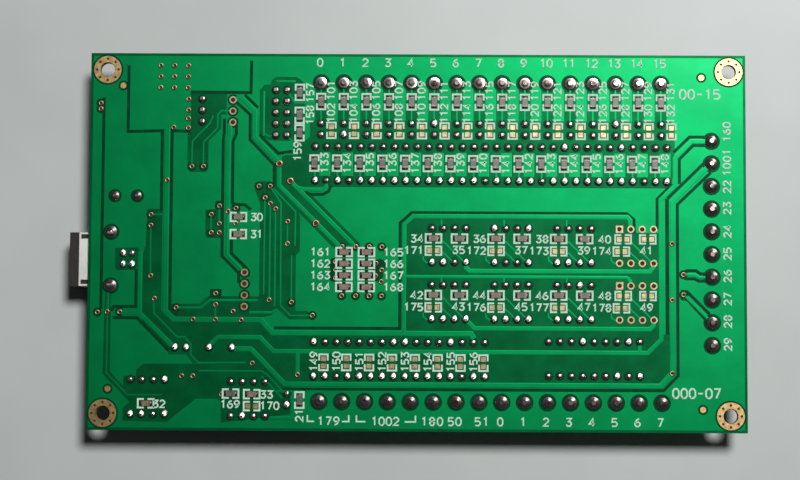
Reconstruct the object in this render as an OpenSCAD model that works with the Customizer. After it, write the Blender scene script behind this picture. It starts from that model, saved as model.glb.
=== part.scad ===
// Four-axis machine control board, lying with its solder side up.
// The origin is at the middle of the four mounting holes, on the solder side.
// +X points to the axis terminals, +Y to the input terminals, +Z away from the solder side.
// All the tall parts hang under the board, so they have negative z.

/* [Board] */
// Board length along X
board_l = 147; // [146:0.5:150]
// Board width along Y
board_w = 84.5; // [84:0.5:88]
// Thickness of the laminate
board_t = 1.6; // [1:0.2:2.4]
// Distance of each mounting hole from the board's edges
hole_inset = 3.75; // [3:0.25:4]
// Mounting hole diameter
hole_d = 3.2; // [2.7:0.1:3.4]

/* [Screw terminals] */
// Distance between neighbouring poles
terminal_pitch = 5.08; // [5:0.01:5.1]
// Height of a block above the component side
terminal_h = 11; // [10.9:0.1:14]
// Number of input terminals, an even number
input_poles = 16; // [4:2:16]
// Number of output terminals, an even number
output_poles = 16; // [4:2:16]
// Number of axis terminals, an even number
axis_poles = 10; // [2:2:10]

/* [USB socket] */
// Length of the socket from mouth to back
usb_l = 16; // [16:0.1:17.4]
// Width of the socket
usb_w = 12; // [11.8:0.1:12.4]
// Height of the socket above the component side
usb_h = 10.9; // [10.6:0.1:10.9]

/* [Soldered joints] */
// How far the leads stick out past the solder side
tail = 1.4; // [1.2:0.1:2.2]
// Height of a terminal's solder cone
big_joint_h = 1.1; // [0.7:0.1:1.2]
// Height of a small lead's solder cone
small_joint_h = 0.8; // [0.5:0.1:1]

/* [Hidden] */
$fn = 32;
grid = 2.54;
dip_span = 3 * grid;
top = -board_t;

// Terminal rows: first pole, then one every terminal_pitch
row_x0 = -21.7;
input_y = 35.7;
output_y = -35.7;
axis_x = 65.75;
axis_y0 = terminal_pitch * (axis_poles - 1) / 2;

// Places of the other parts, each given by its first pin or by its middle
input_opto_y = 21.25;
output_opto_y = -22.5;
driver_at = [29.3, -22.2];
axis_opto_x0 = 3.25;
axis_opto_step = 5.5 * grid;
axis_opto_rows = [3, -9.65];
amplifier_at = [-63.65, -31.05];
spindle_opto_at = [-41.3, -31.4];
supply_module_at = [-53.9, -23.85];
capacitor_at = [-65.2, 10];
capacitor_step = 5;
regulator_at = [-54.75, 37];
controller_at = [-12.4, -6.7];
crystal_at = [-45.2, 4];
programming_at = [-31.9, 33.97];
jumper_at = [-48.4, 31.9];
spare_three_at = [-41.5, 31.75];
spare_four_at = [-38.5, -7.05];
lamp_y = 25.25;
power_lamp_at = [-28.85, -35.25];
usb_y = -4.15;
usb_shell_x = -68.4;
usb_shell_step = 12.04;
usb_signal_legs = [2.7, 4.7];
contact_y = 1.25;

// Lead and drill sizes
dip_lead_w = 0.5;
dip_lead_t = 0.25;
terminal_pin_r = 0.5;
post_w = 0.64;
lamp_lead_w = 0.5;
usb_tab_w = 1.4;
small_drill = 0.9;
post_drill = 1;
terminal_drill = 1.4;
usb_shell_drill = 2.3;
via_drill = 0.5;

// Chips: outer size of the common 2 mm by 1.25 mm ceramic chip
chip_l = 2;
chip_w = 1.25;
chip_cap = 0.35;
chip_h = 0.5;

function row(n, step, at) = [for (i = [0 : n - 1]) [at[0] + i * step, at[1]]];
function column(n, step, at) = [for (i = [0 : n - 1]) [at[0], at[1] - i * step]];
function dip(n, at) = concat(row(n / 2, grid, at), row(n / 2, grid, [at[0], at[1] - dip_span]));
function joined(lists) = [for (list = lists) each list];

input_pins = row(input_poles, terminal_pitch, [row_x0, input_y]);
output_pins = row(output_poles, terminal_pitch, [row_x0, output_y]);
axis_pins = column(axis_poles, terminal_pitch, [axis_x, axis_y0]);

input_optos = [for (i = [0 : 3]) [row_x0 - grid / 2 + 8 * grid * i, input_opto_y]];
output_optos = [for (i = [0 : 1]) [row_x0 - grid / 2 + 8 * grid * i, output_opto_y]];
axis_optos = [for (y = axis_opto_rows, i = [0 : 2]) [axis_opto_x0 + i * axis_opto_step, y]];
spare_optos = [for (y = axis_opto_rows) [axis_opto_x0 + 3 * axis_opto_step, y]];

input_opto_pins = joined([for (at = input_optos) dip(16, at)]);
output_opto_pins = joined([for (at = output_optos) dip(16, at)]);
axis_opto_pins = joined([for (at = axis_optos) dip(8, at)]);
spare_opto_pins = joined([for (at = spare_optos) dip(8, at)]);
driver_pins = dip(18, driver_at);
small_dip_pins = concat(dip(8, amplifier_at), dip(8, spindle_opto_at));

lamp_places = concat([for (i = [0 : 15]) [row_x0 + i * 2 * grid, lamp_y]], [power_lamp_at]);
lamp_pins = [for (at = lamp_places, side = [-1, 1]) [at[0], at[1] + side * grid / 2]];
programming_pins = [for (x = [0, 1], y = [0 : 4]) programming_at + [x * grid, -y * grid]];
jumper_pins = column(3, grid, jumper_at);
supply_pins = [for (i = [0, 1, 3, 5]) supply_module_at + [i * grid, 0]];
capacitor_pins = [for (side = [-1, 1]) capacitor_at + [side * capacitor_step / 2, 0]];
usb_signal_pins = [for (x = usb_signal_legs, y = [-contact_y, contact_y]) [usb_shell_x + x, usb_y + y]];
usb_shell_pins = [for (side = [-1, 1]) [usb_shell_x, usb_y + side * usb_shell_step / 2]];

header_pins = concat(programming_pins, jumper_pins);
dip_pins = concat(input_opto_pins, output_opto_pins, axis_opto_pins, driver_pins, small_dip_pins);
small_pins = concat(dip_pins, lamp_pins, supply_pins, usb_signal_pins);
spare_holes = concat(spare_opto_pins, column(3, grid, spare_three_at), column(4, grid, spare_four_at));

// Vias: plated holes that only join copper on the two faces
regulator_vias = concat(
    [for (x = [-1 : 1], y = [-1 : 1]) regulator_at + [3.1 * x, 2.5 * y]],
    [for (y = [31.9, 29.4, 27.5, 25.4]) [-51.5, y]],
    [[-54.8, 25.5]]
);
controller_vias = concat(
    [for (x = [-16.8, -13.7, -10.7, -7.9], y = [-1.2, -12.2]) [x, y]],
    [[-18.2, -4.6], [-18.2, -6.4], [-18.2, -8.2], [-9.2, -4.9], [-7.9, -6.4], [-9.3, -7.7], [-8, -9]]
);
left_vias = [
    [-71.2, 30.9], [-71.2, 29.6], [-56.1, 13.6], [-59.6, 5.8], [-59.6, 3.4], [-59.5, -7.9],
    [-58.6, -13], [-53.7, -15], [-49.9, -17.6], [-50.6, 16.7], [-48, 16.7], [-46.1, 5.9],
    [-46.1, 1.8], [-44.3, 7.8], [-44.3, 3.8], [-44.3, 1.8], [-42.4, 6.6], [-40.6, 7.3],
    [-40.6, 3.9], [-44.9, -14.3], [-44.9, -11.8], [-44.9, -17.6], [-41, -15.8], [-39.2, -17.7],
    [-71.3, -16.1], [-69.1, -16], [-66.3, -16], [-52.3, -30.2], [-49.8, -30.2], [-43.4, -34.2]
];
middle_vias = [
    [-35.5, 12.3], [-33, 12.3], [-34.1, 9.7], [-32.9, 8.4], [-31.7, 7.2], [-29, 4.4],
    [-29, -0.6], [-33, -13.2], [-28, -13.7], [-23.3, -16.6], [-36.6, -27.3], [-26.5, -29.8]
];
right_vias = [[56.9, -0.2], [56.9, -12.8], [59.4, -7.1], [59.4, -11.6], [56.8, -29.1]];
wide_vias = [[-31, 17.4], [-28.5, 13.5], [-22.7, 4]];
vias = concat(regulator_vias, controller_vias, left_vias, middle_vias, right_vias);

// Chips soldered on the solder side: [x, y], standing along Y or lying along X
input_resistors = [for (i = [0 : 15]) [row_x0 + i * 2 * grid, 31.45]];
opto_resistors = [for (i = [0 : 15]) [row_x0 - 1.4 + i * 2 * grid, 17.55]];
side_resistors = [for (y = [33.5, 28.3, 24.35]) [-26.5, y]];
standing_resistors = concat(input_resistors, opto_resistors, side_resistors, [[-26, -35.4]]);
axis_resistors = [for (at = axis_optos) at + [6.2, -2.25]];
lying_resistors = concat(axis_resistors, [[-41.3, -34.05]]);
axis_capacitors = [for (at = axis_optos) at + [0.4, -2.25]];
controller_capacitors = [for (x = [-16.3, -11.3], y = [-2.4, -5, -7.6, -10.2]) [x, y]];
left_capacitors = [[-40, 5.35], [-40, 1.5], [-60.15, -36.3], [-36.6, -34.15]];
lying_capacitors = concat(axis_capacitors, controller_capacitors, left_capacitors);

// ---------- the laminate ----------

module drill(places, d) {
    for (at = places)
        translate([at[0], at[1], top - 1]) cylinder(h = board_t + 2, d = d);
}

module circuit_board() {
    corner = [board_l / 2 - hole_inset, board_w / 2 - hole_inset];
    color("green") difference() {
        translate([-board_l / 2, -board_w / 2, top]) cube([board_l, board_w, board_t]);
        drill([for (x = [-1, 1], y = [-1, 1]) [x * corner[0], y * corner[1]]], hole_d);
        drill(concat(input_pins, output_pins, axis_pins), terminal_drill);
        drill(concat(small_pins, capacitor_pins, spare_holes), small_drill);
        drill(header_pins, post_drill);
        drill(usb_shell_pins, usb_shell_drill);
        drill(concat(vias, wide_vias), via_drill);
    }
}

// ---------- screw terminals ----------
// A block's own frame: the first pin at the origin on the component side,
// +z away from the board, +y to the side where the wire goes in.

block_back = 4.1;
block_front = 5.9;
cage_w = 3.6;
cage_d = 4;
cage_y = 0.5;
cage_z = 1;
cage_h = 5.2;
cage_wall = 0.7;
cage_lid = 1;
screw_y = cage_y + cage_d / 2;
screw_head_r = 1.8;
screw_r = 1.2;
screw_tip_z = 4.9;
screw_slot_w = 0.6;
screw_slot_h = 0.9;
screw_head_z = 7.2;
screw_head_h = 1.8;
strip_w = 2;
strip_t = 0.6;
entry = [3.4, 3.6];
entry_z = 1.7;
room = 0.1;

module on_input_row() { translate([0, input_y, top]) rotate([180, 0, 180]) children(); }
module on_output_row() { translate([0, output_y, top]) rotate([180, 0, 0]) children(); }
module on_axis_row() { translate([axis_x, 0, top]) rotate([180, 0, 90]) children(); }

// Pole places along a block row's own x
input_poles_x = [for (at = input_pins) -at[0]];
output_poles_x = [for (at = output_pins) at[0]];
axis_poles_x = [for (at = axis_pins) at[1]];

module block_profile() {
    polygon([
        [-block_back, 0], [block_front, 0], [block_front, 6.8], [4.9, terminal_h - 3.4],
        [4.3, terminal_h], [-2.9, terminal_h], [-3.3, terminal_h - 2], [-block_back, terminal_h - 2.6]
    ]);
}

// One two-pole block between pole x and pole x + pitch, minus its pockets
module two_pole_block(x) {
    side = room / 2;
    difference() {
        translate([x - terminal_pitch / 2 + side, 0, 0])
            rotate([90, 0, 90]) linear_extrude(2 * terminal_pitch - 2 * side) block_profile();
        for (i = [0, 1]) translate([x + i * terminal_pitch, 0, 0]) {
            translate([-cage_w / 2 - room, -strip_t / 2 - room, cage_z - room])
                cube([cage_w + 2 * room, cage_y + cage_d + strip_t / 2 + 2 * room, cage_h + 2 * room]);
            translate([-entry[0] / 2, cage_y + cage_d, entry_z]) cube([entry[0], block_front, entry[1]]);
            translate([0, screw_y, cage_z + cage_h]) cylinder(h = terminal_h, r = screw_head_r + room);
            translate([0, 0, -1]) cylinder(h = 3, r = terminal_pin_r + room);
        }
    }
}

module terminal_housing(poles_x) {
    color("#3f8a52")
        for (i = [0 : 2 : len(poles_x) - 1])
            two_pole_block(min(poles_x[i], poles_x[i + 1]));
}

// Rising cage that the screw lifts to press the wire against the strip
module terminal_clamps(poles_x) {
    color("silver") for (x = poles_x) translate([x, cage_y, cage_z]) difference() {
        translate([-cage_w / 2, 0, 0]) cube([cage_w, cage_d, cage_h]);
        translate([-cage_w / 2 + cage_wall, -1, cage_wall])
            cube([cage_w - 2 * cage_wall, cage_d + 2, cage_h - cage_wall - cage_lid]);
        translate([0, cage_d / 2, cage_h / 2]) cylinder(h = cage_h, r = screw_r);
    }
}

module terminal_screws(poles_x) {
    color("lightgray") for (x = poles_x) translate([x, screw_y, 0]) difference() {
        union() {
            translate([0, 0, screw_tip_z]) cylinder(h = screw_head_z - screw_tip_z, r = screw_r);
            translate([0, 0, screw_head_z]) cylinder(h = screw_head_h, r = screw_head_r);
        }
        translate([-2 * screw_head_r, -screw_slot_w / 2, screw_head_z + screw_head_h - screw_slot_h])
            cube([4 * screw_head_r, screw_slot_w, 2 * screw_slot_h]);
    }
}

// Solder pin, upright strip and the tongue that lies in the cage under the screw
module terminal_pins(poles_x) {
    color("silver") for (x = poles_x) translate([x, 0, 0]) {
        translate([0, 0, -board_t - tail]) cylinder(h = board_t + tail + cage_z, r = terminal_pin_r);
        translate([-strip_w / 2, -strip_t / 2, cage_z - room])
            cube([strip_w, strip_t, screw_tip_z - cage_z + room]);
        translate([-strip_w / 2, 0, screw_tip_z - strip_t])
            cube([strip_w, cage_y + cage_d, strip_t]);
    }
}

module input_terminal_housing() { on_input_row() terminal_housing(input_poles_x); }
module input_terminal_clamps() { on_input_row() terminal_clamps(input_poles_x); }
module input_terminal_screws() { on_input_row() terminal_screws(input_poles_x); }
module input_terminal_pins() { on_input_row() terminal_pins(input_poles_x); }
module output_terminal_housing() { on_output_row() terminal_housing(output_poles_x); }
module output_terminal_clamps() { on_output_row() terminal_clamps(output_poles_x); }
module output_terminal_screws() { on_output_row() terminal_screws(output_poles_x); }
module output_terminal_pins() { on_output_row() terminal_pins(output_poles_x); }
module axis_terminal_housing() { on_axis_row() terminal_housing(axis_poles_x); }
module axis_terminal_clamps() { on_axis_row() terminal_clamps(axis_poles_x); }
module axis_terminal_screws() { on_axis_row() terminal_screws(axis_poles_x); }
module axis_terminal_pins() { on_axis_row() terminal_pins(axis_poles_x); }

// ---------- dual in-line chips ----------

dip_body_w = 6.4;
dip_body_h = 3.3;
dip_gap = 0.5;
dip_mid_z = top - dip_gap - dip_body_h / 2;

// Body of a chip with n pins whose first pin is at 'at'
module dip_body(n, at) {
    l = n / 2 * grid - 0.7;
    slope = 0.25;
    band = dip_lead_t / 2;
    half_w = dip_body_w / 2;
    half_h = dip_body_h / 2;
    color("#1c1d1f")
        translate([at[0] + (n / 2 - 1) * grid / 2, at[1] - dip_span / 2, dip_mid_z]) difference() {
            translate([-l / 2, 0, 0]) rotate([90, 0, 90]) linear_extrude(l) polygon([
                [-half_w, band], [-half_w, -band], [-half_w + slope, -half_h],
                [half_w - slope, -half_h], [half_w, -band], [half_w, band],
                [half_w - slope, half_h], [-half_w + slope, half_h]
            ]);
            translate([-l / 2, 0, -half_h - 1]) cylinder(h = 1.5, r = 0.9);
        }
}

// Leads of a chip: out of the body's sides, then up through the board
module dip_leads(n, at) {
    shoulder = 1.4;
    reach = dip_span / 2 + dip_lead_t / 2 - dip_body_w / 2;
    color("silver") for (i = [0 : n / 2 - 1], side = [0, 1])
        translate([at[0] + i * grid, at[1] - dip_span / 2, 0]) mirror([0, side, 0]) {
            translate([-shoulder / 2, dip_body_w / 2, dip_mid_z - dip_lead_t / 2])
                cube([shoulder, reach, dip_lead_t]);
            translate([-shoulder / 2, dip_span / 2 - dip_lead_t / 2, dip_mid_z - dip_lead_t / 2])
                cube([shoulder, dip_lead_t, top - dip_mid_z + dip_lead_t / 2]);
            translate([-dip_lead_w / 2, dip_span / 2 - dip_lead_t / 2, top - 0.5])
                cube([dip_lead_w, dip_lead_t, board_t + tail + 0.5]);
        }
}

module input_optocoupler_1() { dip_body(16, input_optos[0]); }
module input_optocoupler_2() { dip_body(16, input_optos[1]); }
module input_optocoupler_3() { dip_body(16, input_optos[2]); }
module input_optocoupler_4() { dip_body(16, input_optos[3]); }
module input_optocoupler_leads() { for (at = input_optos) dip_leads(16, at); }
module output_optocoupler_1() { dip_body(16, output_optos[0]); }
module output_optocoupler_2() { dip_body(16, output_optos[1]); }
module output_optocoupler_leads() { for (at = output_optos) dip_leads(16, at); }
module output_driver() { dip_body(18, driver_at); }
module output_driver_leads() { dip_leads(18, driver_at); }
module axis_optocoupler(i) { dip_body(8, axis_optos[i]); }
module axis_optocoupler_leads() { for (at = axis_optos) dip_leads(8, at); }
module analogue_amplifier() { dip_body(8, amplifier_at); }
module spindle_optocoupler() { dip_body(8, spindle_opto_at); }
module small_chip_leads() {
    dip_leads(8, amplifier_at);
    dip_leads(8, spindle_opto_at);
}

// ---------- microcontroller and crystal ----------

qfp_body = 10;
qfp_h = 1.4;
qfp_gap = 0.1;
qfp_pitch = 0.5;
qfp_side_leads = 16;

module microcontroller() {
    color("#1c1d1f") translate([controller_at[0], controller_at[1], top - qfp_gap - qfp_h])
        difference() {
            translate([-qfp_body / 2, -qfp_body / 2, 0]) cube([qfp_body, qfp_body, qfp_h]);
            translate([-qfp_body / 2 + 1.2, -qfp_body / 2 + 1.2, -1]) cylinder(h = 1.1, r = 0.5);
        }
}

module microcontroller_leads() {
    lead_w = 0.22;
    lead_t = 0.15;
    mid = top - qfp_gap - qfp_h / 2;
    color("silver") translate([controller_at[0], controller_at[1], 0])
        for (turn = [0 : 90 : 270], i = [0 : qfp_side_leads - 1]) rotate([0, 0, turn])
            translate([(i - (qfp_side_leads - 1) / 2) * qfp_pitch - lead_w / 2, qfp_body / 2, 0]) {
                translate([0, 0, mid]) cube([lead_w, 0.4, lead_t]);
                translate([0, 0.4 - lead_t, mid]) cube([lead_w, lead_t, top - mid]);
                translate([0, 0.4 - lead_t, top - lead_t]) cube([lead_w, 0.75, lead_t]);
            }
}

crystal_l = 11;
crystal_w = 4.4;
crystal_h = 3.4;
crystal_base_l = 12;
crystal_base_h = 0.5;

module clock_crystal() {
    color("silver") translate([crystal_at[0], crystal_at[1], top - crystal_h]) rotate([0, 0, 90]) {
        linear_extrude(crystal_h) union() {
            square([crystal_l - crystal_w, crystal_w], center = true);
            for (side = [-1, 1]) translate([side * (crystal_l - crystal_w) / 2, 0]) circle(d = crystal_w);
        }
        translate([0, 0, crystal_h - crystal_base_h])
            linear_extrude(crystal_base_h) square([crystal_base_l, 2], center = true);
    }
}

// ---------- supply ----------
// The regulator stands on a metal tab that is soldered to the board.

regulator_w = 6.6;
regulator_l = 6.1;
regulator_h = 2.3;
tab_w = 5.3;
tab_t = 0.5;
tab_out = 1.1;
regulator_lead_w = 0.8;
regulator_lead_step = 2.28;

module voltage_regulator() {
    color("#1c1d1f") translate([regulator_at[0], regulator_at[1], top - regulator_h]) difference() {
        translate([-regulator_w / 2, -regulator_l / 2, 0]) cube([regulator_w, regulator_l, regulator_h]);
        translate([-tab_w / 2, 0, regulator_h - tab_t]) cube([tab_w, regulator_l, 1]);
    }
}

module voltage_regulator_leads() {
    foot_l = 1.2;
    lead_out = 2.7;
    lead_z = top - regulator_h / 2;
    color("silver") translate([regulator_at[0], regulator_at[1], 0]) {
        translate([-tab_w / 2, 0, top - tab_t]) cube([tab_w, regulator_l / 2 + tab_out, tab_t]);
        for (side = [-1, 1])
            translate([side * regulator_lead_step - regulator_lead_w / 2, -regulator_l / 2 - lead_out, 0]) {
                translate([0, foot_l, lead_z]) cube([regulator_lead_w, lead_out - foot_l, tab_t]);
                translate([0, foot_l, lead_z]) cube([regulator_lead_w, tab_t, top - lead_z]);
                translate([0, 0, top - tab_t]) cube([regulator_lead_w, foot_l + tab_t, tab_t]);
            }
    }
}

module_gap = 0.5;

module isolated_supply_module() {
    l = 19.5;
    w = 6;
    h = 10;
    corner_cut = 0.8;
    color("#1a1a1c") translate([supply_module_at[0] + 2.5 * grid, supply_module_at[1], top - module_gap - h])
        difference() {
            translate([-l / 2, -w / 2, 0]) cube([l, w, h]);
            for (side = [-1, 1]) translate([side * l / 2, w / 2, 0])
                rotate([0, 0, 45]) cube([corner_cut, corner_cut, 3 * h], center = true);
        }
}

module isolated_supply_pins() {
    color("silver") for (at = supply_pins)
        translate([at[0] - dip_lead_w / 2, at[1] - dip_lead_t / 2, top - module_gap])
            cube([dip_lead_w, dip_lead_t, module_gap + board_t + tail]);
}

can_r = 5;
can_h = 9.6;
can_gap = 0.3;
bung_h = 1;
bung_r = 4.4;

module supply_capacitor_can() {
    color("#20304a") translate([capacitor_at[0], capacitor_at[1], top - can_gap - can_h])
        difference() {
            rotate_extrude($fn = 64) polygon([
                [0, 0.15], [can_r - 0.9, 0.15], [can_r - 0.7, 0], [can_r - 0.3, 0], [can_r, 0.3],
                [can_r, can_h - 2.2], [can_r - 0.3, can_h - 1.9], [can_r - 0.3, can_h - 1.6],
                [can_r, can_h - 1.3], [can_r, can_h - 0.2], [can_r - 0.2, can_h], [0, can_h]
            ]);
            translate([0, 0, can_h - bung_h]) cylinder(h = bung_h + 1, r = bung_r, $fn = 64);
        }
}

module supply_capacitor_bung() {
    color("#2a2a2a") translate([capacitor_at[0], capacitor_at[1], top - can_gap - bung_h])
        cylinder(h = bung_h, r = bung_r, $fn = 64);
}

module supply_capacitor_leads() {
    color("silver") for (at = capacitor_pins)
        translate([at[0], at[1], top - can_gap]) cylinder(h = can_gap + board_t + tail, r = 0.3);
}

// ---------- pin headers ----------

module header_base(places) {
    base_h = 2.5;
    color("#1c1d1f") for (at = places) translate([at[0], at[1], top - base_h]) difference() {
        translate([-grid / 2, -grid / 2, 0]) cube([grid, grid, base_h]);
        cube([post_w, post_w, 3 * base_h], center = true);
    }
}

module header_posts(places) {
    post_top = 8.5;
    color("gold") for (at = places) translate([at[0] - post_w / 2, at[1] - post_w / 2, top - post_top])
        cube([post_w, post_w, post_top + board_t + tail]);
}

module programming_header() { header_base(programming_pins); }
module programming_header_pins() { header_posts(programming_pins); }
module jumper_header() { header_base(jumper_pins); }
module jumper_header_pins() { header_posts(jumper_pins); }

// ---------- lamps ----------

lamp_r = 1.5;
lamp_flange_r = 1.9;
lamp_flange_h = 1;
lamp_h = 5.2;
lamp_gap = 0.3;

module indicator_lamp_lenses() {
    color("#e04a3a") for (at = lamp_places) translate([at[0], at[1], top - lamp_gap]) rotate([180, 0, 0])
        rotate_extrude() difference() {
            union() {
                square([lamp_flange_r, lamp_flange_h]);
                square([lamp_r, lamp_h - lamp_r]);
                translate([0, lamp_h - lamp_r]) circle(r = lamp_r);
            }
            translate([-2 * lamp_r, -lamp_h]) square([2 * lamp_r, 4 * lamp_h]);
        }
}

module indicator_lamp_leads() {
    color("silver") for (at = lamp_pins)
        translate([at[0] - lamp_lead_w / 2, at[1] - lamp_lead_w / 2, top - lamp_gap])
            cube([lamp_lead_w, lamp_lead_w, lamp_gap + board_t + tail]);
}

// ---------- USB socket ----------
// The mouth faces -X. u is the distance behind the mouth.

usb_mouth_to_legs = 9.5;
usb_x0 = usb_shell_x - usb_mouth_to_legs;
usb_flange = 2.1;
usb_sheet = 0.4;
usb_cavity_l = 9;
usb_cavity_w = 8.45;
usb_cavity_h = 7.8;
usb_cavity_z = 1.6;
usb_chamfer = 2;
usb_tongue_w = 5.6;
usb_tongue_h = 3.2;
usb_insulator_l = 11.6;
contact_w = 1;
contact_t = 0.3;
contact_u = 2;
foot_z = 0.6;

module in_usb_frame() { translate([usb_x0, usb_y, top]) rotate([180, 0, 0]) children(); }

// Plug cavity across Y and z, with the two far corners cut off as on the plug
module usb_mouth_outline() {
    half = usb_cavity_w / 2;
    polygon([
        [-half, usb_cavity_z], [half, usb_cavity_z],
        [half, usb_cavity_z + usb_cavity_h - usb_chamfer],
        [half - usb_chamfer, usb_cavity_z + usb_cavity_h],
        [-half + usb_chamfer, usb_cavity_z + usb_cavity_h],
        [-half, usb_cavity_z + usb_cavity_h - usb_chamfer]
    ]);
}

usb_tongue_z = usb_cavity_z + (usb_cavity_h - usb_tongue_h) / 2;

// The four contacts lie on the tongue's two wide faces
module at_usb_contacts() {
    for (face = [0, 1], side = [-1, 1])
        translate([0, side * contact_y, face == 0 ? usb_tongue_z - contact_t : usb_tongue_z + usb_tongue_h])
            children();
}

module usb_socket_insulator() {
    color("#1b1b1d") in_usb_frame() difference() {
        union() {
            translate([0, -usb_w / 2, 0]) cube([usb_flange, usb_w, usb_h]);
            translate([0, -usb_w / 2 + usb_sheet, usb_sheet])
                cube([usb_insulator_l, usb_w - 2 * usb_sheet, usb_h - 2 * usb_sheet]);
        }
        difference() {
            translate([-1, 0, 0]) rotate([90, 0, 90]) linear_extrude(usb_cavity_l + 1) usb_mouth_outline();
            translate([1, -usb_tongue_w / 2, usb_tongue_z])
                cube([usb_cavity_l, usb_tongue_w, usb_tongue_h]);
        }
        at_usb_contacts() translate([contact_u, -contact_w / 2, 0])
            cube([usb_insulator_l, contact_w, contact_t]);
    }
}

// Folded sheet round the insulator, with a leg at each side and a tongue along the board
module usb_socket_shell() {
    plate_w = 9.2;
    leg_u = usb_shell_x - usb_x0;
    color("silver") in_usb_frame() {
        difference() {
            translate([usb_flange, -usb_w / 2, 0]) cube([usb_l - usb_flange, usb_w, usb_h]);
            translate([usb_flange - 1, -usb_w / 2 + usb_sheet, -1])
                cube([usb_l - usb_flange + 1 - usb_sheet, usb_w - 2 * usb_sheet, usb_h + 1 - usb_sheet]);
        }
        translate([usb_flange, -plate_w / 2, 0]) cube([usb_insulator_l - usb_flange, plate_w, usb_sheet]);
        for (side = [-1, 1]) translate([usb_flange, side > 0 ? plate_w / 2 - 0.1 : -usb_w / 2, 0])
            cube([0.4, (usb_w - plate_w) / 2 + 0.1, usb_sheet]);
        for (side = [-1, 1])
            translate([leg_u - usb_tab_w / 2, side > 0 ? usb_w / 2 - usb_sheet : -usb_w / 2, -board_t - tail])
                cube([usb_tab_w, usb_sheet, board_t + tail + 1]);
    }
}

// Each contact runs along the tongue, out of the back and down to its own hole
module usb_socket_contacts() {
    color("gold") in_usb_frame() for (face = [0, 1], side = [-1, 1]) {
        z = face == 0 ? usb_tongue_z - contact_t : usb_tongue_z + usb_tongue_h;
        leg_u = usb_shell_x - usb_x0 + usb_signal_legs[face];
        y = side * contact_y;
        translate([contact_u, y - contact_w / 2, z])
            cube([leg_u - contact_u + contact_t / 2, contact_w, contact_t]);
        translate([leg_u - contact_t / 2, y - contact_w / 2, foot_z])
            cube([contact_t, contact_w, z - foot_z + contact_t]);
        translate([leg_u, y, -board_t - tail])
            cylinder(h = board_t + tail + foot_z + contact_t, r = contact_t);
    }
}

// ---------- ceramic chips on the solder side ----------

module chip_body(at, along_y) {
    l = chip_l - 2 * chip_cap;
    w = chip_w - 0.06;
    translate([at[0], at[1], 0]) rotate([0, 0, along_y ? 90 : 0])
        translate([-l / 2, -w / 2, 0.03]) cube([l, w, chip_h - 0.06]);
}

module chip_caps(at, along_y) {
    translate([at[0], at[1], 0]) rotate([0, 0, along_y ? 90 : 0])
        for (x = [-chip_l / 2, chip_l / 2 - chip_cap])
            translate([x, -chip_w / 2, 0]) cube([chip_cap, chip_w, chip_h]);
}

module chip_resistor_bodies() {
    color("#24262a") {
        for (at = standing_resistors) chip_body(at, true);
        for (at = lying_resistors) chip_body(at, false);
    }
}

module chip_resistor_caps() {
    color("silver") {
        for (at = standing_resistors) chip_caps(at, true);
        for (at = lying_resistors) chip_caps(at, false);
    }
}

module chip_capacitor_bodies() {
    color("#8a7560") for (at = lying_capacitors) chip_body(at, false);
}

module chip_capacitor_caps() {
    color("silver") for (at = lying_capacitors) chip_caps(at, false);
}

// ---------- solder ----------

// Hollow-sided cone of solder round a lead, from the pad up
module joint(at, pad_r, bore_r, h) {
    translate([at[0], at[1], 0]) rotate_extrude() polygon([
        [bore_r, 0], [pad_r, 0], [pad_r * 0.93, h * 0.22],
        [pad_r * 0.74, h * 0.55], [max(pad_r * 0.5, bore_r + 0.06), h], [bore_r, h]
    ]);
}

module terminal_solder_joints() {
    color("silver") for (at = concat(input_pins, output_pins, axis_pins))
        joint(at, 1.5, terminal_pin_r + 0.01, big_joint_h);
}

module pin_solder_joints() {
    color("silver") {
        for (at = dip_pins) joint(at, 0.75, 0.29, small_joint_h);
        for (at = concat(lamp_pins, supply_pins, usb_signal_pins)) joint(at, 0.8, 0.37, small_joint_h);
        for (at = header_pins) joint(at, 0.85, 0.47, small_joint_h);
        for (at = capacitor_pins) joint(at, 1.15, 0.31, big_joint_h);
        for (at = usb_shell_pins) joint(at, 1.6, 0.85, big_joint_h);
    }
}

circuit_board();
usb_socket_shell();
usb_socket_insulator();
usb_socket_contacts();
input_terminal_housing();
input_terminal_clamps();
input_terminal_screws();
input_terminal_pins();
output_terminal_housing();
output_terminal_clamps();
output_terminal_screws();
output_terminal_pins();
axis_terminal_housing();
axis_terminal_clamps();
axis_terminal_screws();
axis_terminal_pins();
input_optocoupler_1();
input_optocoupler_2();
input_optocoupler_3();
input_optocoupler_4();
input_optocoupler_leads();
output_optocoupler_1();
output_optocoupler_2();
output_optocoupler_leads();
output_driver();
output_driver_leads();
axis_optocoupler(0);  // axis_optocoupler_1
axis_optocoupler(1);  // axis_optocoupler_2
axis_optocoupler(2);  // axis_optocoupler_3
axis_optocoupler(3);  // axis_optocoupler_4
axis_optocoupler(4);  // axis_optocoupler_5
axis_optocoupler(5);  // axis_optocoupler_6
axis_optocoupler_leads();
analogue_amplifier();
spindle_optocoupler();
small_chip_leads();
microcontroller();
microcontroller_leads();
clock_crystal();
voltage_regulator();
voltage_regulator_leads();
isolated_supply_module();
isolated_supply_pins();
supply_capacitor_can();
supply_capacitor_bung();
supply_capacitor_leads();
programming_header();
programming_header_pins();
jumper_header();
jumper_header_pins();
indicator_lamp_lenses();
indicator_lamp_leads();
chip_resistor_bodies();
chip_resistor_caps();
chip_capacitor_bodies();
chip_capacitor_caps();
terminal_solder_joints();
pin_solder_joints();
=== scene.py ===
# %% [markdown]
# # A motion control board, seen from its solder side
#
# The real object is a green two-sided circuit board with screw terminals, a USB socket
# and rows of chips. It lies on its terminals, so what shows is the solder side: copper
# under green mask, gilded pads, white print, small ceramic chips and solder joints.
#
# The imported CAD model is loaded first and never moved. Everything that is too thin or too
# soft-edged for CAD (copper, mask, print, solder) is then built on top of it.

import math
import random

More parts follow.
